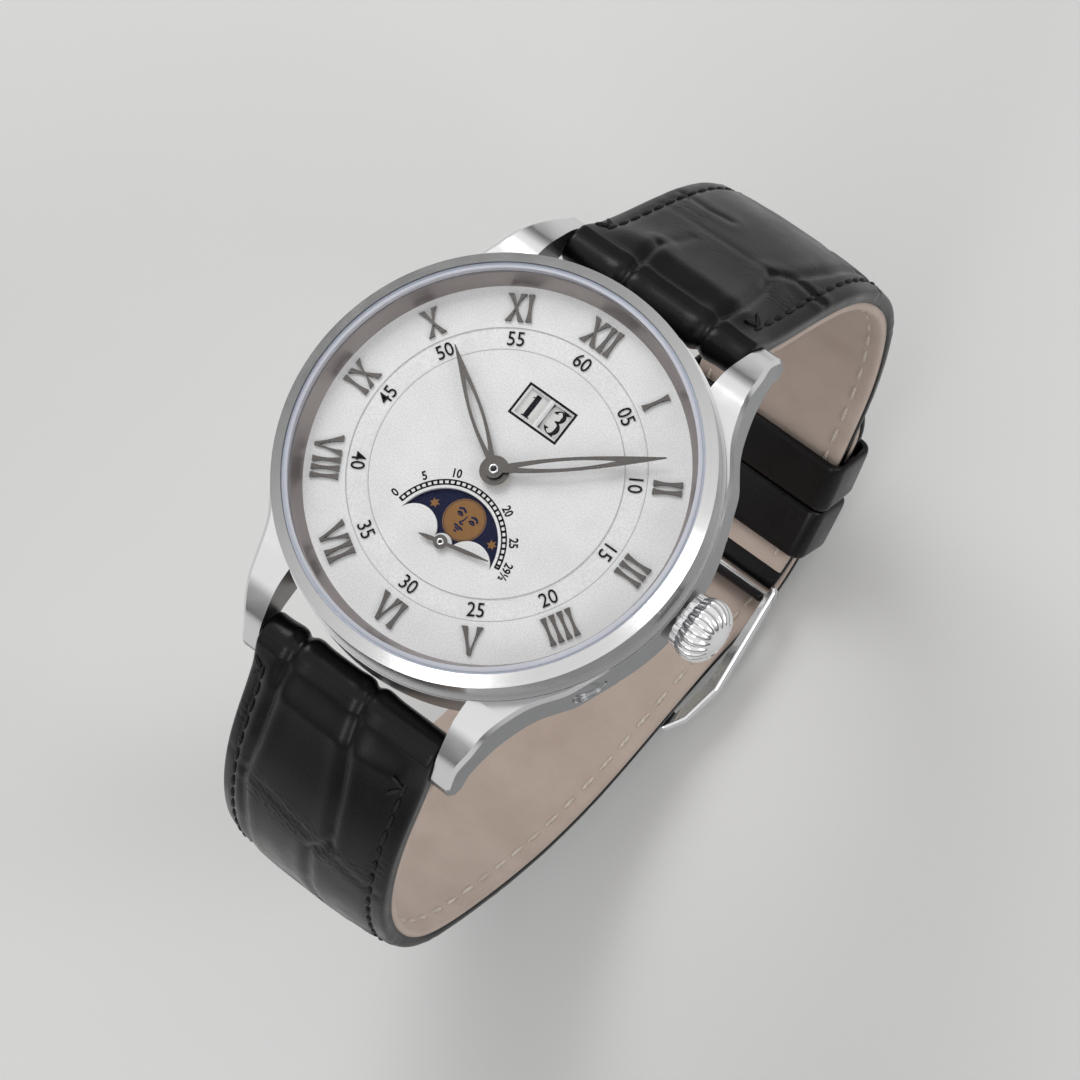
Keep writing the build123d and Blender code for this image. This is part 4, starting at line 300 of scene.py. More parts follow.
dress(mottled("polished_ruby", "7C0A26", "B3173D", 0.05, 900.0, 2.0, IOR=1.76, Transmission_Weight=0.35), "jewels")

# Winding rotor
# Turned from a heavy alloy: satin rings about the hub, and stripes on the thin plate.
dress(metal("rotor_satin", "BDBDBD", "A5A5A6", 0.27, (1.2, 10, 4), 0.015, centre=(0, 0), stripe=0.3), "rotor")


# Case middle
# Stainless steel. The flank and the sides of the lugs are brushed along the case, the lug
# tops and all bevels are polished bright, so the finish changes with the way a face looks.
# Upright faces also carry painted shade: a dark grey tone that stands for the dim room they mirror.
finish = Finish("case_steel_with_painted_dark_sides")
place = finish.in_mm()
# Brushing in the real case is about 20 lines in a millimetre; here 9, so that it shows.
lines = finish.noise(finish.node("Mapping", {"Vector": place, "Scale": (0.35, 0.35, 9.0)}).outputs[0], 1.0, 5.0,
                     Roughness=0.65)
brushed_and_painted_dark = finish.between(finish.rising(), 1.0, 0.0, 0.12, 0.3)
# Upright faces are brushed and also painted dark grey, a painted shade for a dark reflection; level faces stay
# bright.
tone = finish.blend(brushed_and_painted_dark, "E4E4E5", finish.blend(lines, "77787A", "A3A4A7"))
gloss = finish.blend(brushed_and_painted_dark, finish.between(finish.noise(place, 0.4, 2.0), 0.12, 0.24), 0.34)
bump = finish.bump(finish.math("MULTIPLY", lines, brushed_and_painted_dark), 0.012, Strength=0.7)
dress(finish.done(finish.surface(tone, gloss, bump, Metallic=1.0)), "case_middle", "case_back_ring",
      "corrector_pusher")

# Seals
# Moulded black rubber rings behind the case back and in the crown: mat and slightly dusty. The
# ring round the crystal is pale nylon, which shows through the crystal's edge.
dress(mottled("moulded_rubber", "0E0E0F", "1D1D1F", 0.65, 4000.0, 3.0, 0.01), "case_back_gasket", "crown_gasket")
dress(mottled("pale_nylon", "C4C8D8", "D6D9E4", 0.4, 1500.0, 2.0, Subsurface_Weight=0.3, Subsurface_Scale=0.0004),
      "crystal_gasket")

# Crown and buckle steel
# Stainless steel buffed to a mirror; hairline rub marks break the reflections a little.
dress(metal("mirror_polished_steel", "EEEEEF", "E2E2E3", 0.06, (2.5, 2.5, 2.5), 0.0012, spread=0.05),
      "crown", "crown_tube", "buckle_frame", "buckle_tongue", "buckle_bar")
# Bezel and inner ring
# Turned stainless steel with fine rings round the axis: the bezel is satin bright, and the ring
# that slopes from it down to the dial is a little duller, so that it mirrors only softly. The
# bezel's upright side is painted a darker grey: painted shade that stands for a dark reflection.
dress(metal("turned_bezel_steel_painted_dark_side", "E2E2E2", "CFCFCE", 0.22, (0.8, 16, 14), 0.01, centre=(0, 0), spread=0.05,
            upright="8A8A8C"), "bezel")
dress(metal("satin_inner_ring_steel", "B0A9A7", "968F8D", 0.4, (0.6, 14, 14), 0.008, centre=(0, 0)), "rehaut_ring")

# Dial
# A brass disc, silvered and sprayed with a pearly grained lacquer. The grain is about 0.1 mm
# in the real dial; here it is 0.16 mm, so that it shows.
finish = Finish("grained_silvered_lacquer")
specks = finish.noise(finish.place, 6200.0, 2.0, Roughness=0.7)
mixed = finish.blend(0.25, specks, finish.noise(finish.place, 260.0, 2.0))
tone = finish.blend(finish.between(mixed, 0.0, 1.0, 0.35, 0.65), "E3E3E4", "FBFBFB")
dress(finish.done(finish.surface(tone, 0.42, finish.bump(specks, 0.02, Strength=0.5), Metallic=0.15)), "dial")

# Dial print
# Pad-printed ink, a few hundredths of a millimetre thick: the minute numbers, the frame of the
# big date and the scale of the moon in black. Two thin grey circles are painted shade: they
# stand for the thin shade lines at the dial's two steps.
dial_top = 9.2
ink_lift, ink_height = 0.006, 0.02


def lacquer(name, colour, other, roughness=0.4):
    """Printed or sprayed paint with a slightly uneven tone."""
    return mottled(name, colour, other, roughness, 3500.0, 3.0, 0.004, Specular_IOR_Level=0.15)


def polar(centre, reach, turn):
    """The point at a reach and an angle in degrees from a centre."""
    return centre[0] + reach * cos(radians(turn)), centre[1] + reach * sin(radians(turn))


def swung(place, x, y, turn):
    """The point x and y beside a place, swung about it by an angle in degrees."""
    a = radians(turn)
    return place[0] + x * cos(a) - y * sin(a), place[1] + x * sin(a) + y * cos(a)


def face_outwards(piece, merge=0.0, thin=0.0):
    """Turns a closed piece's faces outwards, after joining points and dropping slivers of these sizes in metres."""
    form = bmesh.new()
    form.from_mesh(piece.data)
    if merge:
        bmesh.ops.remove_doubles(form, verts=form.verts, dist=merge)
    if thin:
        bmesh.ops.dissolve_degenerate(form, edges=form.edges[:], dist=thin)
    bmesh.ops.recalc_face_normals(form, faces=form.faces[:])
    form.to_mesh(piece.data)
    form.free()
    return piece


def applied(piece):
    """A new mesh of a piece with its modifiers worked in, or of its letters."""
    return bpy.data.meshes.new_from_object(piece.evaluated_get(bpy.context.evaluated_depsgraph_get()))


class Print:
    """Flat printed shapes gathered into one mesh: closed prisms standing on a level."""

    def __init__(self, level, height=ink_height):
        self.points, self.faces, self.level, self.height = [], [], level, height

    def strip(self, left, right, closed=False):
        """A band between two rows of points, with its sides and ends closed."""
        start, count = len(self.points), len(left)
        for a, b in zip(left, right):
            for x, y in (a, b):
                self.points += [(x, y, self.level), (x, y, self.level + self.height)]
        for step in range(count if closed else count - 1):
            a, b = start + step * 4, start + (step + 1) % count * 4
            self.faces += [(a + 1, a + 3, b + 3, b + 1), (a, b, b + 2, a + 2), (a, a + 1, b + 1, b),
                           (a + 2, b + 2, b + 3, a + 3)]
        if not closed:
            last = start + (count - 1) * 4
            self.faces += [(start, start + 2, start + 3, start + 1), (last, last + 1, last + 3, last + 2)]

    def line(self, points, widths, closed=False):
        """A pen line through points, with a width at each."""
        left, right, count = [], [], len(points)
        for place, (x, y) in enumerate(points):
            before = points[place - 1] if place or closed else points[0]
            after = points[(place + 1) % count] if place < count - 1 or closed else points[-1]
            run, rise = after[0] - before[0], after[1] - before[1]
            size = hypot(run, rise) or 1
            half = (widths[place] if isinstance(widths, (list, tuple)) else widths) / 2
            left.append((x + rise / size * half, y - run / size * half))
            right.append((x - rise / size * half, y + run / size * half))
        self.strip(right, left, closed)

    def arc(self, centre, inner, outer, start=0.0, end=360.0, steps=96):
        """A ring or a part of one."""
        whole = abs(end - start) >= 360
        turns = [start + (end - start) * step / steps for step in range(steps + (0 if whole else 1))]
        self.strip(*([polar(centre, reach, turn) for turn in turns] for reach in (inner, outer)), whole)

    def disc(self, centre, radius, steps=24):
        self.arc(centre, 0.0001, radius, 0, 360, steps)

    def shape(self, outline, centre):
        """A star-like shape, filled from its centre."""
        self.strip([tuple(c + (p - c) * 0.001 for p, c in zip(point, centre)) for point in outline], outline, True)

    def text(self, words, height, squeeze, place, turn, weight=0.002):
        """Plain sans figures of a height, centred on a place and turned by an angle in degrees."""
        curve = bpy.data.curves.new("figures", "FONT")
        curve.body, curve.resolution_u, curve.offset = words, 3, weight
        holder = linked("figures", curve)
        flat = applied(holder)
        bpy.data.objects.remove(holder)
        low = [min(v.co[axis] for v in flat.vertices) for axis in (0, 1)]
        high = [max(v.co[axis] for v in flat.vertices) for axis in (0, 1)]
        scale = height / (high[1] - low[1])
        form = bmesh.new()
        form.from_mesh(flat)
        bmesh.ops.remove_doubles(form, verts=form.verts, dist=0.0001)
        start = len(self.points)
        lower = bmesh.ops.extrude_face_region(form, geom=form.faces[:])
        top = {v for v in lower["geom"] if isinstance(v, bmesh.types.BMVert)}
        bmesh.ops.recalc_face_normals(form, faces=form.faces[:])
        form.verts.index_update()
        for v in form.verts:
            x = (v.co.x - (low[0] + high[0]) / 2) * scale * squeeze
            y = (v.co.y - (low[1] + high[1]) / 2) * scale
            self.points.append((*swung(place, x, y, turn), self.level + (self.height if v in top else 0)))
        self.faces += [tuple(start + v.index for v in face.verts) for face in form.faces]
        form.free()
        bpy.data.meshes.remove(flat)

    def piece(self, name, material, body):
        """The finished mesh, with its faces outwards, riding on a body."""
        made = new_piece(name, self.points, self.faces, material, smooth=False)
        face_outwards(made, merge=1e-7, thin=1e-8)
        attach(made, body)
        return made


black_ink = lacquer("black_printing_ink", "060607", "0E0E0F", 0.6)
ink = Print(dial_top + ink_lift)
number_reach, number_height, number_squeeze = 12.85, 1.36, 0.9
for minute in range(5, 65, 5):
    angle = 90 - minute * 6
    ink.text(f"{minute:02d}", number_height, number_squeeze, polar((0, 0), number_reach, angle),
             angle + 90 if 20 <= minute <= 40 else angle - 90)
frame_left, frame_low, frame_high, frame_line = 2.75, 5.2, 8.68, 0.22
corner = [(-frame_left, frame_low), (frame_left, frame_low), (frame_left, frame_high), (-frame_left, frame_high)]
inner_corner = [(x - frame_line * (1 if x > 0 else -1), y + frame_line * (1 if y < 7 else -1)) for x, y in corner]
ink.strip(inner_corner, corner, True)
scale_centre, scale_outer, scale_inner, scale_end = (0.0, -8.0), 5.96, 5.42, 79.6
scale_line, tick_line, tick_inset, month = 0.13, 0.2, 0.02, 29.5
for low_edge, high_edge in ((scale_inner, scale_inner + scale_line), (scale_outer - scale_line, scale_outer)):
    ink.arc(scale_centre, low_edge, high_edge, 90 - scale_end, 90 + scale_end, 64)
day_step = 2 * scale_end / month
for day in range(31):
    angle = 90 + scale_end - min(day, month) * day_step
    ink.line([polar(scale_centre, reach, angle) for reach in (scale_inner + tick_inset, scale_outer - tick_inset)],
             tick_line)
for day, words in ((0, "0"), (5, "5"), (10, "10"), (20, "20"), (25, "25"), (month, "29½")):
    angle = 90 + scale_end - day * day_step
    ink.text(words, 0.86, 0.86, polar(scale_centre, scale_outer + 0.62, angle), angle - 90, 0.025)
ink.piece("dial_print", black_ink, "case")
# Thin grey circles at the dial's steps: painted shade standing for the steps' shade lines.
step_shade_circles = Print(dial_top + ink_lift / 2, 0.008)
for reach in (11.8, 13.9):
    step_shade_circles.arc((0, 0), reach - 0.035, reach + 0.035, steps=160)
step_shade_circles.piece("dial_step_shade_lines", lacquer("painted_step_shade_ink", "B9BABC", "C8C9CA", 0.35), "case")

# Date discs
# White lacquered discs under the windows, one for the tens and one for the units, each with
# black figures in a bookish face of thick stems and hair-thin joins, printed round its edge.
dress(lacquer("white_disc_lacquer", "F2F2F0", "E9E9E7", 0.35), "date_tens_disc", "date_units_disc")
figure_height, figure_width, boldness = 2.4, 1.5, 1.3
# Each stroke is a row of (across, up, width) in shares of the figure's height.
figures = {
    "0": [[(.5, 1.0, .03), (.22, .88, .09), (.1, .5, .15), (.22, .12, .09), (.5, .0, .03),
           (.78, .12, .09), (.9, .5, .15), (.78, .88, .09), (.5, 1.0, .03)]],
    "1": [[(.5, .02, .17), (.5, .98, .17)], [(.22, .02, .035), (.78, .02, .035)],
          [(.5, .97, .035), (.38, .86, .03), (.2, .8, .03)]],
    "2": [[(.22, .74, .17), (.2, .84, .08), (.46, .985, .03), (.78, .86, .12), (.8, .66, .15),
           (.5, .36, .08), (.14, .06, .03)], [(.12, .06, .12), (.5, .07, .13), (.86, .05, .1)],
          [(.86, .04, .03), (.9, .26, .02)]],
    "3": [[(.2, .8, .16), (.21, .87, .07), (.46, .985, .03), (.74, .88, .11), (.78, .75, .14),
           (.7, .6, .08), (.42, .54, .03)],
          [(.42, .54, .03), (.74, .48, .08), (.86, .28, .15), (.74, .08, .1), (.46, .015, .03),
           (.2, .1, .06), (.17, .21, .17)]],
    "4": [[(.66, .0, .16), (.66, 1.0, .15)], [(.66, .98, .03), (.08, .3, .03)],
          [(.07, .3, .035), (.92, .3, .035)], [(.45, .02, .03), (.88, .02, .03)]],
    "5": [[(.24, .96, .13), (.82, .96, .12)], [(.22, .96, .03), (.18, .52, .03)],
          [(.18, .52, .03), (.48, .62, .03), (.8, .46, .12), (.84, .28, .15), (.72, .08, .09),
           (.44, .015, .03), (.2, .1, .05), (.18, .2, .16)]],
    "6": [[(.8, .82, .15), (.76, .94, .05), (.54, .985, .03), (.24, .82, .1), (.12, .4, .15),
           (.26, .08, .09), (.5, .015, .03), (.78, .1, .1), (.86, .3, .15), (.76, .5, .09),
           (.52, .57, .03), (.24, .42, .04)]],
    "7": [[(.12, .93, .12), (.86, .93, .12)], [(.86, .94, .03), (.56, .5, .08), (.46, .02, .17)],
          [(.12, .94, .03), (.1, .74, .02)]],
    "8": [[(.5, .985, .03), (.26, .88, .1), (.26, .66, .1), (.5, .54, .09), (.8, .4, .12),
           (.84, .16, .11), (.5, .015, .03), (.16, .16, .1), (.2, .38, .1), (.5, .52, .05),
           (.74, .68, .08), (.72, .9, .08), (.5, .985, .03)]],
    "9": [[(.2, .18, .15), (.24, .06, .05), (.46, .015, .03), (.76, .18, .1), (.88, .6, .15),
           (.74, .92, .09), (.5, .985, .03), (.22, .9, .1), (.14, .7, .15), (.24, .5, .09),
           (.48, .43, .03), (.76, .58, .04)]],
}


def rounded(stroke, steps=7):
    """A stroke's points joined by a smooth curve that passes through each of them."""
    if len(stroke) < 3:
        return stroke
    row = [stroke[0], *stroke, stroke[-1]]
    smooth = []
    for a, b, c, d in zip(row, row[1:], row[2:], row[3:]):
        for step in range(steps):
            t = step / steps
            smooth.append(tuple(
                (2 * q + (r - p) * t + (2 * p - 5 * q + 4 * r - s) * t * t + (3 * q - p - 3 * r + s) * t ** 3) / 2
                for p, q, r, s in zip(a, b, c, d)))
    return smooth + [stroke[-1]]


def pen(printed, strokes, place, turn, width, height, boldness):
    """Draws strokes given in shares of a box, centred on a place and turned by an angle."""
    for stroke in strokes:
        path, widths = [], []
        for across_share, up_share, thick in rounded(stroke):
            path.append(swung(place, (across_share - 0.5) * width, (up_share - 0.5) * height, turn))
            widths.append(max(thick, 0.02) * height * boldness)
        printed.line(path, widths)


for body, level, hub, orbit, digits, shown, spacing in (
    ("date_tens", 8.78, (-4.425, 6.975), 3.1, "0123", "1", 90.0),
    ("date_units", 8.63, (5.225, 6.975), 3.9, "0123456789", "3", 36.0),
):
    printed = Print(level + ink_lift, 0.015)
    facing_in = 0.0 if body == "date_tens" else 180.0
    for digit in digits:
        spin = facing_in + (digits.index(digit) - digits.index(shown)) * spacing
        pen(printed, figures[digit], polar(hub, orbit, spin), spin - facing_in, figure_width, figure_height, boldness)
    printed.piece(body + "_figures", lacquer(body + "_ink", "0A0B12", "13151F", 0.5), body)

# Moon disc
# Night blue lacquer with two tan gold moons and stars, so that one moon always comes up. The
# face is a plain one drawn in fine dark blue lines.
dress(lacquer("night_blue_lacquer", "0C1230", "131C42", 0.35), "moon_disc")
moon_hub, moon_level, moon_orbit, moon_radius = (0.0, -8.1), 8.78, 2.97, 2.03
gold = lacquer("tan_gold_print", "8E663D", "A27A4E", 0.45)
moons = Print(moon_level + ink_lift, 0.012)
face_lines = Print(moon_level + ink_lift + 0.012, 0.006)
face = [
    [(.2, .64, .03), (.3, .7, .04), (.42, .66, .03)], [(.58, .66, .03), (.7, .7, .04), (.8, .64, .03)],
    [(.23, .56, .02), (.31, .6, .035), (.4, .555, .02)],
    [(.23, .56, .02), (.31, .53, .02), (.4, .555, .02)],
    [(.6, .555, .02), (.69, .6, .035), (.77, .56, .02)],
    [(.6, .555, .02), (.69, .53, .02), (.77, .56, .02)],
    [(.3, .568, .05), (.33, .564, .05)], [(.68, .568, .05), (.71, .564, .05)],
    [(.5, .62, .02), (.49, .48, .025), (.45, .41, .03), (.5, .385, .03), (.55, .41, .03)],
    [(.36, .285, .02), (.44, .3, .035), (.5, .29, .03), (.56, .3, .035), (.64, .285, .02)],
    [(.42, .255, .02), (.5, .235, .03), (.58, .255, .02)],
    [(.45, .18, .02), (.5, .172, .025), (.55, .18, .02)],
]
for spin in (85.0, 265.0):
    place = polar(moon_hub, moon_orbit, spin)
    moons.disc(place, moon_radius, 48)
    pen(face_lines, face, place, spin - 90, moon_radius * 1.9, moon_radius * 1.9, 1.5)
    face_lines.arc(place, moon_radius * 0.93, moon_radius * 0.955, steps=48)
for x, y in ((-3.0, 2.7), (3.75, 2.6), (3.0, -2.7), (-3.75, -2.6)):
    star = (moon_hub[0] + x, moon_hub[1] + y)
    moons.shape([polar(star, 0.26 if point % 2 else 0.5, 15 + point * 30) for point in range(12)], star)
moons.piece("moon_and_stars", gold, "moon")
face_lines.piece("moon_face", lacquer("dark_blue_ink", "141C3C", "1B2550", 0.4), "moon")

# Numerals and hands
# Steel cut and rubbed to a dark grey satin, then riveted: the numerals stand on feet, and the
# hands are pressed on their posts, whose ends are polished. The dark disc in the hollow of
# each post's end is painted shade.
dress(metal("dark_satin_steel", "706D6B", "565351", 0.27, (2, 22, 22), 0.006),
      "hour_numerals", "hour_hand", "minute_hand", "seconds_hand")


def tube_faces(rows, ring, closed=False):
    """Quads between rings of points that follow each other."""
    faces = []
    for row in range(rows if closed else rows - 1):
        here, there = row * ring, (row + 1) % rows * ring
        for place in range(ring):
            after = (place + 1) % ring
            faces.append((here + place, here + after, there + after, there + place))
    return faces


def end_caps(rows, ring):
    """The faces that close a tube's first and last ring."""
    last = (rows - 1) * ring
    return [tuple(range(ring))[::-1], tuple(range(last, last + ring))]


def turned_post(name, centre, profile, material, body):
    """A little turned piece on an upright axis, from (radius, height) points, closed at both ends."""
    steps = 48
    points = [(centre[0] + reach * cos(2 * pi * step / steps), centre[1] + reach * sin(2 * pi * step / steps), up)
              for reach, up in profile for step in range(steps)]
    faces = tube_faces(len(profile), steps) + end_caps(len(profile), steps)
    made = face_outwards(new_piece(name, points, faces, material))
    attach(made, body)


post_steel = metal("polished_post_steel", "E6E6E7", "D4D4D6", 0.1, (6, 6, 6), 0.002)
post_pit_painted_shade = metal("painted_shade_post_end", "3A3B3E", "28292B", 0.35, (6, 6, 6), 0.004)
for name, centre, level, outer, inner, body in (
    ("minute_post", (0.0, 0.0), 10.57, 0.46, 0.27, "minute_hand"),
    ("seconds_post", (0.0, -8.1), 9.72, 0.34, 0.16, "fourth_wheel"),
):
    turned_post(name + "_ring", centre, ((outer, level - 0.12), (outer, level + 0.02), (outer - 0.05, level + 0.07),
                                         (inner + 0.04, level + 0.07), (inner, level + 0.03), (inner, level + 0.005)),
                post_steel, body)
    # The dark disc at the bottom of the post's hollow is painted shade.
    turned_post(name + "_end", centre, ((inner - 0.01, level + 0.006), (inner - 0.01, level + 0.02),
                                        (inner - 0.06, level + 0.035)), post_pit_painted_shade, body)

# Crystal and back glass
# Flat coated sapphire plates, polished on their faces and ground matt on edge and bevel.
finish = Finish("polished_sapphire")
smear = finish.noise(finish.place, 220.0, 2.0)
# Sapphire's own index is 1.77; this low one stands for its coating, which stops the reflections.
glass = finish.surface(linear("FDFDFD"), finish.between(smear, 0.0, 0.012), Transmission_Weight=1.0, IOR=1.09)
clear = finish.node("BsdfTransparent", {"Color": linear("FBFBFB")}).outputs[0]
# Light that falls through the crystal isn't bent, so that the dial is lit once and evenly.
rays = finish.node("LightPath").outputs
seen = finish.math("MAXIMUM", rays["Is Camera Ray"], rays["Is Transmission Ray"])
polished = finish.node("MixShader", {0: seen, 1: clear, 2: glass}).outputs[0]
# Its edge and bevel are ground matt, which shows as a pale bluish ring.
edge = finish.surface(finish.blend(smear, "DFE2F0", "F0F1F8"), 0.35)
ground = finish.math("LESS_THAN", finish.rising(), 0.85)
dress(finish.done(finish.node("MixShader", {0: ground, 1: polished, 2: edge}).outputs[0]), "crystal",
      "case_back_glass")


# Strap leather
# Two straps of calf pressed with large reptile tiles, padded and folded round the spring bars,
# dyed black and polished. The edges are cut, painted black and rubbed.
lug_place, bar_level, roll_radius, bar_hole = 22.9, 2.2, 1.85, 0.79
strap_lug_width, strap_buckle_width, taper_depth = 20.7, 18.0, 70.0
lip_width, lip_depth, tail_length, tail_draw = 0.45, 0.3, 9.0, 5.5
roll_sweep, roll_rows, row_step, fill_length = 236, 26, 0.3, 2.2
buckle_bar_place, tongue_slot_place = (16.4, -63.1), (15.25, -64.5)
buckle_roll_radius, buckle_roll_bore, buckle_roll_rows, buckle_roll_step = 1.2, 0.74, 21, 11.0
free_holes, first_hole, hole_spacing, hole_radius = 3, 0.62, 0.05, 0.8
stitch_inset, stitch_sink, stitch_trough = 1.6, 0.16, 0.42
upper_seam = ((23.2, 7.0), (27.4, 12.4), (30.8, 16.3), (33.9, 20.0), (37.4, 25.2), (40.2, 32.9), (41.1, 40.3),
              (40.2, 46.0), (37.1, 53.7), (32.4, 60.1), (27.2, 66.3), (22.4, 70.4), (17.3, 72.3))
lower_seam = ((23.2, 7.0), (26.6, 11.2), (30.4, 15.4), (34.0, 21.0), (36.6, 28.5), (37.2, 35.5), (35.8, 43.9),
              (30.5, 52.6), (26.0, 57.7), (19.3, 63.6), (11.4, 67.7), (2.6, 69.9), (-5.0, 71.7), (-12.3, 74.2),
              (-17.6, 75.4))


class Seam:
    """A smooth curve in the plane of twelve and six, through given (y, z) points."""

    def __init__(self, points, side):
        self.side = side
        self.points = np.array(points, float)
        gaps = np.hypot(*np.diff(self.points, axis=0).T)
        self.knots = np.concatenate([[0], np.cumsum(gaps)])
        count = len(points)
        system, wanted = np.eye(count), np.zeros((count, 2))
        slope = np.diff(self.points, axis=0) / gaps[:, None]
        for row in range(1, count - 1):
            system[row, row - 1:row + 2] = gaps[row - 1], 2 * (gaps[row - 1] + gaps[row]), gaps[row]
            wanted[row] = 6 * (slope[row] - slope[row - 1])
        self.bend = np.linalg.solve(system, wanted)
        fine = np.linspace(0, self.knots[-1], 4000)
        spots = self.at_knot(fine)
        self.run = np.concatenate([[0], np.cumsum(np.hypot(*np.diff(spots, axis=0).T))])
        self.fine = fine
        self.length = self.run[-1]

    def at_knot(self, place):
        span = np.clip(np.searchsorted(self.knots, place, side="right") - 1, 0, len(self.knots) - 2)
        gap = (self.knots[span + 1] - self.knots[span])[:, None]
        a = ((self.knots[span + 1] - place)[:, None]) / gap
        b = 1 - a
        return (a * self.points[span] + b * self.points[span + 1]
                + ((a ** 3 - a) * self.bend[span] + (b ** 3 - b) * self.bend[span + 1]) * gap ** 2 / 6)

    def at(self, distance):
        """Points, directions and outward normals at distances along the seam."""
        distance = np.atleast_1d(np.asarray(distance, float))
        place = np.interp(distance, self.run, self.fine)
        step = 0.02
        ahead = self.at_knot(np.clip(place + step, 0, self.knots[-1]))
        behind = self.at_knot(np.clip(place - step, 0, self.knots[-1]))
        run = (ahead - behind) / np.linalg.norm(ahead - behind, axis=1)[:, None]
        outward = np.stack([-run[:, 1], run[:, 0]], 1) * self.side
        return self.at_knot(place), run, outward


upper = Seam([(out, dial_top - down) for out, down in upper_seam], 1)
tail_places = np.array([0.94, 0.87, 0.77, 0.66]) * upper.knots[-1]
tail_distance = np.interp(tail_places, upper.fine, upper.run)
spots, _, outward = upper.at(tail_distance)
lower = Seam([(-out, dial_top - down) for out, down in lower_seam] + list(spots + outward * 2.5), -1)


def strap_half_width(level):
    """Half the strap's width at a height: widest at the lugs, narrowing towards the buckle."""
    share = np.clip((bar_level - level) / taper_depth, 0, 1)
    return (strap_lug_width - (strap_lug_width - strap_buckle_width) * share) / 2


def nearness(x, s, path):
    """The distance of surface points from a polyline drawn on the strap."""
    best = np.full(x.shape, 1e9)
    for (ax, asx), (bx, bsx) in zip(path, path[1:]):
        dx, ds = bx - ax, bsx - asx
        t = np.clip(((x - ax) * dx + (s - asx) * ds) / (dx * dx + ds * ds), 0, 1)
        best = np.minimum(best, np.hypot(x - ax - t * dx, s - asx - t * ds))
    return best


def strap_surface(x, s, seam, form, half_width):
    """Height of the outer face over the seam, with tiles, creases and the sunken stitch lines."""
    creases, wrinkles, edge, crown, fade = form
    share = np.clip(s / seam.length, 0, 1)
    rising = np.clip(s / 4.0, 0, 1)
    rising = rising * rising * (3 - 2 * rising)
    rim = edge[0] + (edge[1] - edge[0]) * share
    rise = (crown - edge[0]) * np.clip(1 - share / fade, 0, 1)
    rim = roll_radius + (rim - roll_radius) * rising
    height = rim + rise * rising * (1 - np.abs(x / half_width) ** 3)
    swell, sunk = np.zeros(x.shape), np.zeros(x.shape)
    for path, depth, wide in creases:
        gap = nearness(x, s, path)
        sunk = np.maximum(sunk, depth * np.exp(-(gap / wide) ** 2))
        swell = np.maximum(swell, 0.4 * depth * np.exp(-((gap - 1.1) / 0.9) ** 2))
    height += swell - sunk
    stitch = half_width - stitch_inset
    strength = np.clip((s - 1.5) / 3, 0, 1)
    height -= stitch_sink * strength * np.exp(-((np.abs(x) - stitch) / stitch_trough) ** 2)
    for (cx, cs), (rx, rs), angle, pitch, depth in wrinkles:
        along = (x - cx) * cos(radians(angle)) + (s - cs) * sin(radians(angle))
        cross = -(x - cx) * sin(radians(angle)) + (s - cs) * cos(radians(angle))
        inside = np.exp(-((along / rx) ** 4 + (cross / rs) ** 4))
        bend = 0.35 * np.sin(along * 1.7 + cx) + 0.2 * np.sin(along * 3.1)
        height += depth * inside * np.sin((cross + bend) * 2 * pi / pitch) ** 3
    return height


def tail_shrink(left):
    """How much the lower strap's tip draws in at each side, at a distance left to its end."""
    return max(0.0, 1 - left / tail_length) ** 2 * tail_draw


def strap_leather(name, seam, form, loop=None):
    """The folded leather of one strap as a closed mesh: rows go round the bar roll and down to the end."""
    columns = 96
    shares = np.linspace(-1, 1, columns)
    shares = np.sign(shares) * (1 - (1 - np.abs(shares)) ** 1.25)
    points = []

    def add_row(base, way, inner, level, s=None, shrink=0.0):
        """Points across the outer face, and back across the inner one."""
        half_width = float(strap_half_width(level)) - shrink
        x = shares * half_width
        height = 0.0 if s is None else strap_surface(x, np.full(columns, s), seam, form, half_width)
        lip = np.clip((half_width - np.abs(x)) / lip_width, 0, 1)
        height = height - lip_depth * (1 - np.sqrt(1 - (1 - lip) ** 2))
        points.extend((value, *(base + way * up)) for value, up in zip(x, height))
        points.extend((value, *inner) for value in x[::-1])

    _, run, outward = (v[0] for v in seam.at(0.0))
    hub = np.array([seam.side * lug_place, bar_level])
    for angle in np.linspace(-roll_sweep, 0, roll_rows + 1)[:-1]:
        way = outward * cos(radians(angle)) + run * sin(radians(angle))
        inner = hub + way * bar_hole
        if angle < -180:
            inner = hub - outward * bar_hole * 0.9 + run * (abs(angle) - 180) / (roll_sweep - 180)
        add_row(hub, way, inner, bar_level, roll_radius * radians(angle))
    distances = np.concatenate([np.arange(0, seam.length, row_step), [seam.length]])
    if loop:
        distances = distances[distances <= seam.length - loop[2]]
    places, _, outs = seam.at(distances)
    for place, way, distance in zip(places, outs, distances):
        inner = place + way * bar_hole * max(0.0, 1 - distance / fill_length) ** 1.5
        add_row(place, way, inner, place[1], distance, 0.0 if loop else tail_shrink(seam.length - distance))
    if loop:
        centre, radius = np.array(loop[0]), loop[1]
        first = atan2(*(places[-1] + outs[-1] * (radius * 0.98) - centre)[::-1])
        for step in range(1, buckle_roll_rows + 1):
            angle = first - seam.side * radians(step * buckle_roll_step)
            out = np.array([cos(angle), sin(angle)])
            add_row(centre + out * (radius if step < 20 else radius * 0.9), out, centre + out * buckle_roll_bore,
                    places[-1][1])
    ring = 2 * columns
    count = len(points) // ring
    faces = tube_faces(count, ring)
    for row in (0, count - 1):
        for column in range(columns - 1):
            a, b = row * ring + column, row * ring + ring - 1 - column
            quad = (a, b, b - 1, a + 1)
            faces.append(quad if row == 0 else quad[::-1])
    return face_outwards(new_piece(name, points, faces), merge=1e-6)


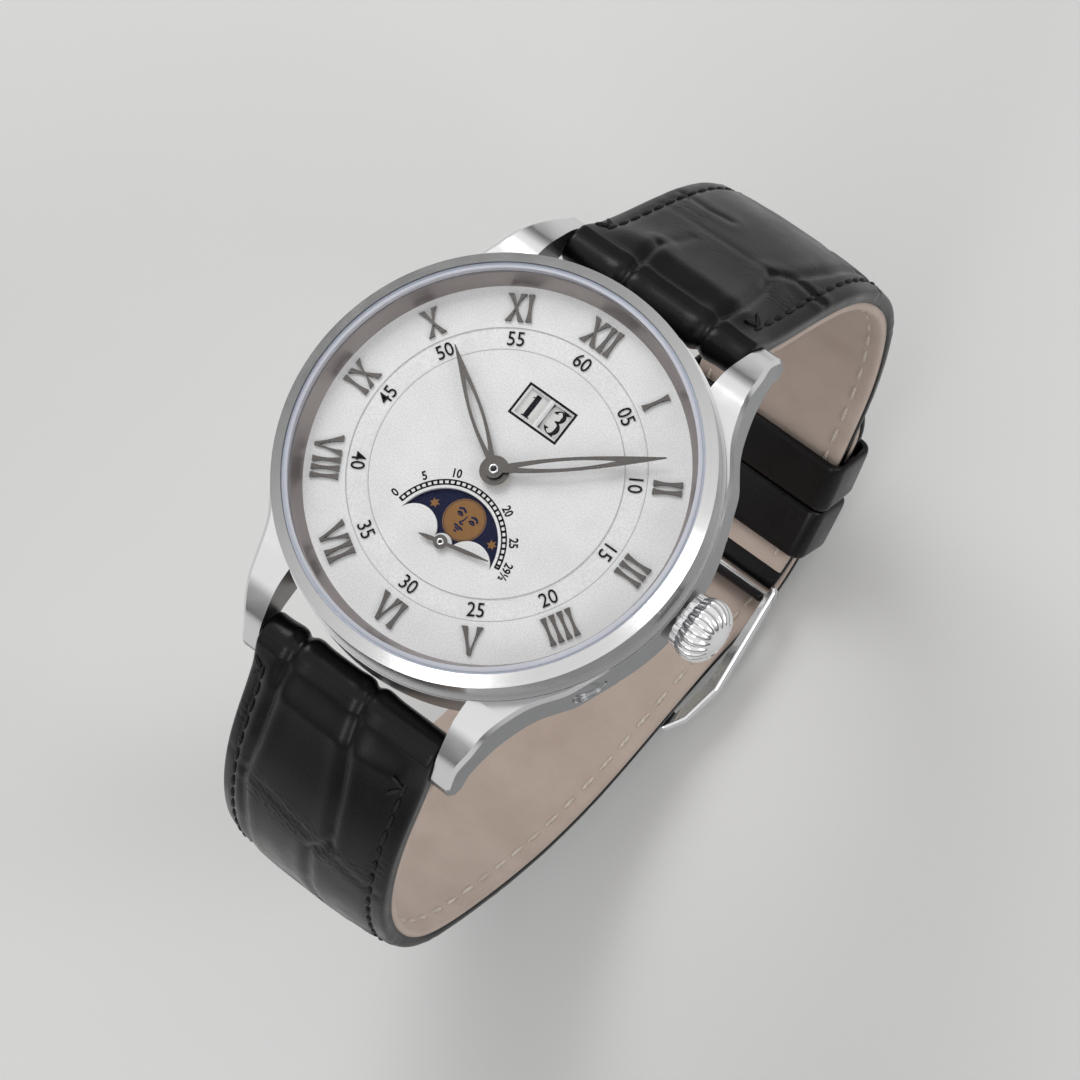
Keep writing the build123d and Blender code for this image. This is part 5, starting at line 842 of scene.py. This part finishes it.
def leather(name, colour, other, gloss, pore, depth, coat, sheen=0.0):
    """Dyed hide with pores of a size in millimetres."""
    finish = Finish(name)
    place = finish.in_mm()
    cells = finish.node("TexVoronoi", {"Vector": place, "Scale": 1 / pore, "Randomness": 1.0},
                        feature="DISTANCE_TO_EDGE").outputs["Distance"]
    broad = finish.noise(place, 0.22, 3.0)
    height = finish.blend(0.45, finish.between(cells, 0.0, 1.0, 0.0, 0.25), finish.noise(place, 2.2 / pore, 4.0))
    return finish.done(finish.surface(
        finish.blend(broad, colour, other), finish.between(broad, gloss - 0.07, gloss + 0.09, 0.3, 0.7),
        finish.bump(height, depth, Strength=0.55), Coat_Weight=coat, Coat_Roughness=0.28, Sheen_Weight=sheen,
        Specular_IOR_Level=0.16))


black_leather = leather("polished_black_calf", "070607", "0F0D10", 0.3, 0.5, 0.02, 0.16)
upper_creases = [
    ([(-3.6, -5.5), (-3.7, 0.0), (-4.2, 4.5)], 0.3, 0.42), ([(-4.2, 4.5), (-3.4, 7.5), (-3.2, 9.5)], 0.07, 0.6),
    ([(5.6, -5.5), (5.7, 0.0), (6.2, 4.0), (5.6, 9.0), (4.4, 12.5)], 0.3, 0.45),
    ([(4.4, 12.5), (6.0, 14.6), (9.4, 15.0)], 0.26, 0.45), ([(-8.8, 13.0), (-3.9, 12.2), (4.4, 12.5)], 0.04, 0.5),
    ([(-9.0, 17.4), (-5.5, 16.4), (-3.0, 16.8)], 0.12, 0.4),
    ([(6.0, 14.6), (7.0, 21.0), (7.0, 29.0)], 0.22, 0.45),
    ([(-9.0, 29.4), (-1.2, 29.0), (7.0, 29.0), (9.4, 29.6)], 0.24, 0.45),
    ([(2.6, 29.2), (2.8, 36.0), (2.4, 42.0)], 0.22, 0.45), ([(-5.4, 29.2), (-5.0, 42.0)], 0.22, 0.45),
    ([(-9.0, 42.4), (2.4, 42.0), (9.2, 42.6)], 0.2, 0.4), ([(-1.0, 42.2), (-1.2, 55.0)], 0.18, 0.4),
    ([(-9.0, 55.0), (9.0, 55.4)], 0.16, 0.4), ([(3.0, 55.2), (3.0, 68.0)], 0.14, 0.4),
]
upper_wrinkles = [((6.9, 10.4), (1.7, 2.6), 24.0, 0.7, 0.05), ((0.6, 10.6), (5.0, 1.1), 14.0, 0.7, 0.025),
                  ((-6.0, 14.0), (2.0, 1.2), -12.0, 0.9, 0.04)]
upper_form = (upper_creases, upper_wrinkles, (1.4, 1.4), 2.9, 0.64)
upper_leather = strap_leather("upper_strap", upper, upper_form, loop=(buckle_bar_place, buckle_roll_radius, 1.6))
lower_creases = [
    ([(-6.4, -5.5), (-6.5, 0.0), (-6.6, 5.0), (-6.7, 10.5), (-7.2, 15.0)], 0.3, 0.5),
    ([(1.6, -5.5), (1.9, 0.0), (2.6, 5.0), (3.4, 10.0), (3.8, 15.5)], 0.3, 0.5),
    ([(-9.4, 14.0), (-4.0, 15.0), (3.8, 17.0), (9.3, 19.5)], 0.05, 0.5),
    ([(3.8, 15.5), (1.6, 18.6), (1.4, 26.0), (1.9, 32.0)], 0.28, 0.5),
    ([(-7.2, 15.0), (-6.6, 22.0), (-6.9, 32.0)], 0.26, 0.45),
    ([(-9.0, 32.2), (1.9, 32.0), (9.2, 32.6)], 0.24, 0.45), ([(-2.6, 32.2), (-2.8, 45.0)], 0.22, 0.45),
    ([(5.6, 32.2), (5.4, 45.0)], 0.22, 0.45), ([(-9.0, 45.2), (9.0, 45.0)], 0.2, 0.4),
    ([(0.8, 45.2), (0.8, 58.0)], 0.18, 0.4), ([(-9.0, 58.0), (9.0, 58.3)], 0.15, 0.4),
    ([(-3.0, 58.1), (-3.0, 74.0)], 0.13, 0.4), ([(4.4, 58.1), (4.4, 74.0)], 0.13, 0.4),
    ([(-8.8, 74.0), (8.8, 74.0)], 0.12, 0.4),
]
lower_wrinkles = [((0.4, 16.6), (8.5, 1.9), 9.0, 0.75, 0.07), ((9.0, 15.0), (0.9, 1.5), 4.0, 0.8, 0.06),
                  ((-9.3, 9.0), (0.8, 0.9), -4.0, 0.8, 0.06)]
lower_form = (lower_creases, lower_wrinkles, (1.4, 1.1), 2.9, 0.5)
lower_leather = strap_leather("lower_strap", lower, lower_form)


def punched(piece, tools):
    """The piece with the tools' shapes cut out of it."""
    for tool in tools:
        cut = piece.modifiers.new("cut", "BOOLEAN")
        cut.operation, cut.object, cut.solver = "DIFFERENCE", tool, "EXACT"
    done = applied(piece)
    piece.modifiers.clear()
    old, piece.data = piece.data, done
    done.name = piece.name
    bpy.data.meshes.remove(old)
    for tool in tools:
        bpy.data.objects.remove(tool)
    return piece


def punch(centre, way, radius, reach, steps=20):
    """A round or square-sided cutting tool along a direction in the plane of twelve and six."""
    side = np.array([-way[1], way[0]])
    corner_reach = 1.41421 if steps == 4 else 1
    points = []
    for end in (-1, 1):
        for step in range(steps):
            a = 2 * pi * (step + 0.5) / steps
            spot = np.array(centre) + np.array(way) * reach * end + side * radius[1] * sin(a) * corner_reach
            points.append((radius[0] * cos(a) * corner_reach, spot[0], spot[1]))
    return face_outwards(new_piece("punch", points, tube_faces(2, steps) + end_caps(2, steps)))


def hole_tools():
    """Three free buckle holes, and the slot that the tongue is through."""
    tools = []
    for index in range(free_holes):
        distance = float(np.interp((first_hole + hole_spacing * index) * lower.knots[-1], lower.fine, lower.run))
        spot, _, out = (v[0] for v in lower.at(distance))
        tools.append(punch(spot, out, (hole_radius, hole_radius), 4.0))
    tools.append(punch(tongue_slot_place, np.array([0.0, 1.0]), (1.15, 2.45), 4.5, steps=4))
    return tools


lower_leather = punched(lower_leather, hole_tools())
upper_leather = punched(upper_leather, [punch(buckle_bar_place, np.array([0.0, 1.0]), (1.2, 1.62), 3.0, steps=4)])
def put_on(piece, material, node, body="case"):
    """Gives a strap piece its material, and lets it ride on a body in its solid's stead."""
    piece.data.materials.clear()
    piece.data.materials.append(material)
    for face in piece.data.polygons:
        face.use_smooth = True
    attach(piece, body)
    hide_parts(node)


put_on(upper_leather, black_leather, "strap_upper_leather")
put_on(lower_leather, black_leather, "strap_lower_leather")


# Strap lining
# Beige calf, left mat, cut flush with the leather, glued to it and sewn through near the edge.
def strap_lining(name, seam, ends, start, spare, node, cuts=()):
    """A flat layer under the seam with softly rounded edges."""
    distances = np.concatenate([np.arange(start, seam.length - spare, 0.6), [seam.length - spare]])
    across_row = np.concatenate([[-1, -0.985], np.linspace(-0.95, 0.95, 30), [0.985, 1]])
    points, ring = [], 2 * len(across_row)
    for place, out, distance in zip(*seam.at(distances)[::2], distances):
        thickness = ends[0] + (ends[1] - ends[0]) * distance / seam.length
        half_width = float(strap_half_width(place[1])) - 0.03
        if seam is lower:
            half_width -= tail_shrink(seam.length - spare - distance)
        points.extend((share * half_width, *(place - out * 0.02)) for share in across_row)
        for share in across_row[::-1]:
            dip = 0.22 * max(0.0, (abs(share) - 0.95) / 0.05) ** 2
            pull = 0.1 * np.exp(-((abs(share) * half_width - (half_width - 1.5)) / 0.4) ** 2)
            points.append((share * half_width, *(place - out * (thickness - dip - pull))))
    caps = [cap[::-1] for cap in end_caps(len(distances), ring)]
    piece = face_outwards(new_piece(name, points, tube_faces(len(distances), ring) + caps))
    if cuts:
        punched(piece, cuts)
    put_on(piece, beige_lining, node)


beige_lining = leather("mat_beige_calf", "B5A398", "CBBBB0", 0.72, 0.36, 0.05, 0.0, 0.1)
strap_lining("upper_lining", upper, (1.0, 1.0), 1.45, 1.9, "strap_upper_lining")
strap_lining("lower_lining", lower, (1.0, 0.8), 1.45, 0.0, "strap_lower_lining", hole_tools())


# Stitching
# Waxed thread sewn through leather and lining: black on the outside in a sunken line, pale on
# the lining. One tree lays a short round stitch at each step of a line drawn on the strap.
def stitch_tree():
    tree = bpy.data.node_groups.new("stitches_along_a_line", "GeometryNodeTree")
    face = tree.interface
    face.new_socket("Geometry", in_out="INPUT", socket_type="NodeSocketGeometry")
    for name, value in (("Pitch", 1.9), ("Stitch length", 1.4), ("Thread width", 0.42)):
        socket = face.new_socket(name, in_out="INPUT", socket_type="NodeSocketFloat")
        socket.default_value = value * MM
    face.new_socket("Thread", in_out="INPUT", socket_type="NodeSocketMaterial")
    face.new_socket("Geometry", in_out="OUTPUT", socket_type="NodeSocketGeometry")
    given = add_node(tree, "NodeGroupInput").outputs
    line = add_node(tree, "GeometryNodeMeshToCurve", {"Mesh": given["Geometry"]})
    spots = add_node(tree, "GeometryNodeCurveToPoints", {"Curve": line.outputs["Curve"], "Length": given["Pitch"]},
                     mode="LENGTH")
    ball = add_node(tree, "GeometryNodeMeshUVSphere", {"Segments": 8, "Rings": 6, "Radius": 0.5})
    size = add_node(tree, "ShaderNodeCombineXYZ", {"X": given["Thread width"], "Y": given["Thread width"],
                                                   "Z": given["Stitch length"]})
    stitch = add_node(tree, "GeometryNodeTransform", {"Geometry": ball.outputs["Mesh"], "Scale": size.outputs[0]})
    laid = add_node(tree, "GeometryNodeInstanceOnPoints", {
        "Points": spots.outputs["Points"], "Instance": stitch.outputs["Geometry"],
        "Rotation": spots.outputs["Rotation"]})
    real = add_node(tree, "GeometryNodeRealizeInstances", {"Geometry": laid.outputs["Instances"]})
    dyed = add_node(tree, "GeometryNodeSetMaterial", {"Geometry": real.outputs["Geometry"],
                                                      "Material": given["Thread"]})
    tree.links.new(dyed.outputs["Geometry"], add_node(tree, "NodeGroupOutput").inputs["Geometry"])
    return tree


def sewn(name, lines, size, thread):
    """Stitches of a (pitch, length, width) along rows of points, as one plain mesh."""
    points, edges = [], []
    for row in lines:
        start = len(points)
        points += [tuple(c * MM for c in p) for p in row]
        edges += [(start + step, start + step + 1) for step in range(len(row) - 1)]
    mesh = bpy.data.meshes.new(name)
    mesh.from_pydata(points, edges, [])
    guide = linked(name, mesh)
    modifier = guide.modifiers.new("stitches", "NODES")
    modifier.node_group = stitches
    wanted = dict(zip(("Pitch", "Stitch length", "Thread width"), (value * MM for value in size)), Thread=thread)
    for item in stitches.interface.items_tree:
        if item.in_out == "INPUT" and item.name in wanted:
            modifier[item.identifier] = wanted[item.name]
    done = applied(guide)
    guide.modifiers.clear()
    guide.data = done
    for face in done.polygons:
        face.use_smooth = True
    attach(guide, "case")


def thread(name, colour, other, rough):
    """Twisted waxed thread, its plies drawn as fine slanted bands."""
    finish = Finish(name)
    plies = finish.node("TexWave", {"Vector": finish.place, "Scale": 900.0, "Distortion": 1.5},
                        bands_direction="DIAGONAL").outputs["Fac"]
    return finish.done(finish.surface(finish.blend(plies, colour, other), rough, finish.bump(plies, 0.03),
                                      Specular_IOR_Level=0.25))


stitches = stitch_tree()
black_thread = thread("waxed_black_thread", "0C0B0C", "1B1A1C", 0.5)
pale_thread = thread("waxed_pale_thread", "C2B7AA", "D8CEC2", 0.6)


def stitch_rows(seam, first, spare, form=None, tail=1.0):
    """Rows along both edges of a strap: on the leather of a form, or under a lining of 1 mm that ends at tail."""
    def spot(side, distance, across=0.0):
        """The place on a row's line, or beside it."""
        places, _, outs = seam.at(distance)
        half_width = float(strap_half_width(places[0][1]))
        x = side * (half_width - (stitch_inset if form else 1.5)) + across
        if form:
            up = float(strap_surface(np.array([x]), np.array([distance]), seam, form, half_width)[0]) + 0.02
        else:
            up = -(1.0 + (tail - 1.0) * distance / seam.length) + 0.04
        return (x, *(places[0] + outs[0] * up))

    rows = []
    for side, begin in zip((-1, 1), first):
        rows.append([spot(side, distance) for distance in np.arange(begin, seam.length - spare, 0.5)])
        if form:
            # A row starts with a cross stitch over its line.
            rows += [[spot(side, begin + reach * lean, reach) for reach in (-0.6, 0.0, 0.6)] for lean in (-1, 1)]
    return rows


top_stitch, lining_stitch = (2.2, 1.85, 0.5), (3.1, 2.3, 0.42)
sewn("upper_stitches", stitch_rows(upper, (3.2, 3.2), 3.0, upper_form), top_stitch, black_thread)
sewn("lower_stitches", stitch_rows(lower, (3.2, 4.5), 3.0, lower_form), top_stitch, black_thread)
sewn("upper_lining_stitches", stitch_rows(upper, (4.0, 4.0), 4.0), lining_stitch, pale_thread)
sewn("lower_lining_stitches", stitch_rows(lower, (4.0, 4.0), 6.0, tail=0.8), lining_stitch, pale_thread)


# Keepers
# Two bands of the same calf, folded, glued and pressed smooth: one is sewn in by the buckle,
# the other slides and holds the tail.
def keeper_band(name, distance, body, node):
    """A closed band with rounded edges round both layers of the strap."""
    place, run, out = (v[0] for v in upper.at(distance))
    wall, play, under, over, bend, swell = 0.45, 0.4, 1.4, 4.0, 1.1, 0.02
    half_width = float(strap_half_width(place[1])) + play + wall
    low, high = -under - wall, over + wall
    path = []
    for cx, cy, first in ((half_width - bend, high - bend, 0), (bend - half_width, high - bend, 90),
                          (bend - half_width, low + bend, 180), (half_width - bend, low + bend, 270)):
        for step in range(9):
            a = radians(first + step * 11.25)
            path.append((cx + bend * cos(a), cy + bend * sin(a), cos(a), sin(a)))
    section = []
    for step in range(20):
        a = 2 * pi * step / 20
        wide, thick = abs(cos(a)) ** 0.25 * (1 if cos(a) > 0 else -1), abs(sin(a)) ** 0.6 * (1 if sin(a) > 0 else -1)
        section.append((wide * 3.15, thick * 0.43))
    points = []
    for px, py, nx, ny in path:
        for along, thick in section:
            x, y = px + nx * (thick + swell), py + ny * (thick + swell)
            points.append((x, *(place + out * y + run * along)))
    piece = face_outwards(new_piece(name, points, tube_faces(len(path), len(section), closed=True)))
    put_on(piece, black_leather, node, body)


keeper_band("fixed_keeper_band", upper.length - 7.9, "case", "keeper_fixed")
keeper_band("free_keeper_band", upper.length - 14.8, "keeper_free", "keeper_free")
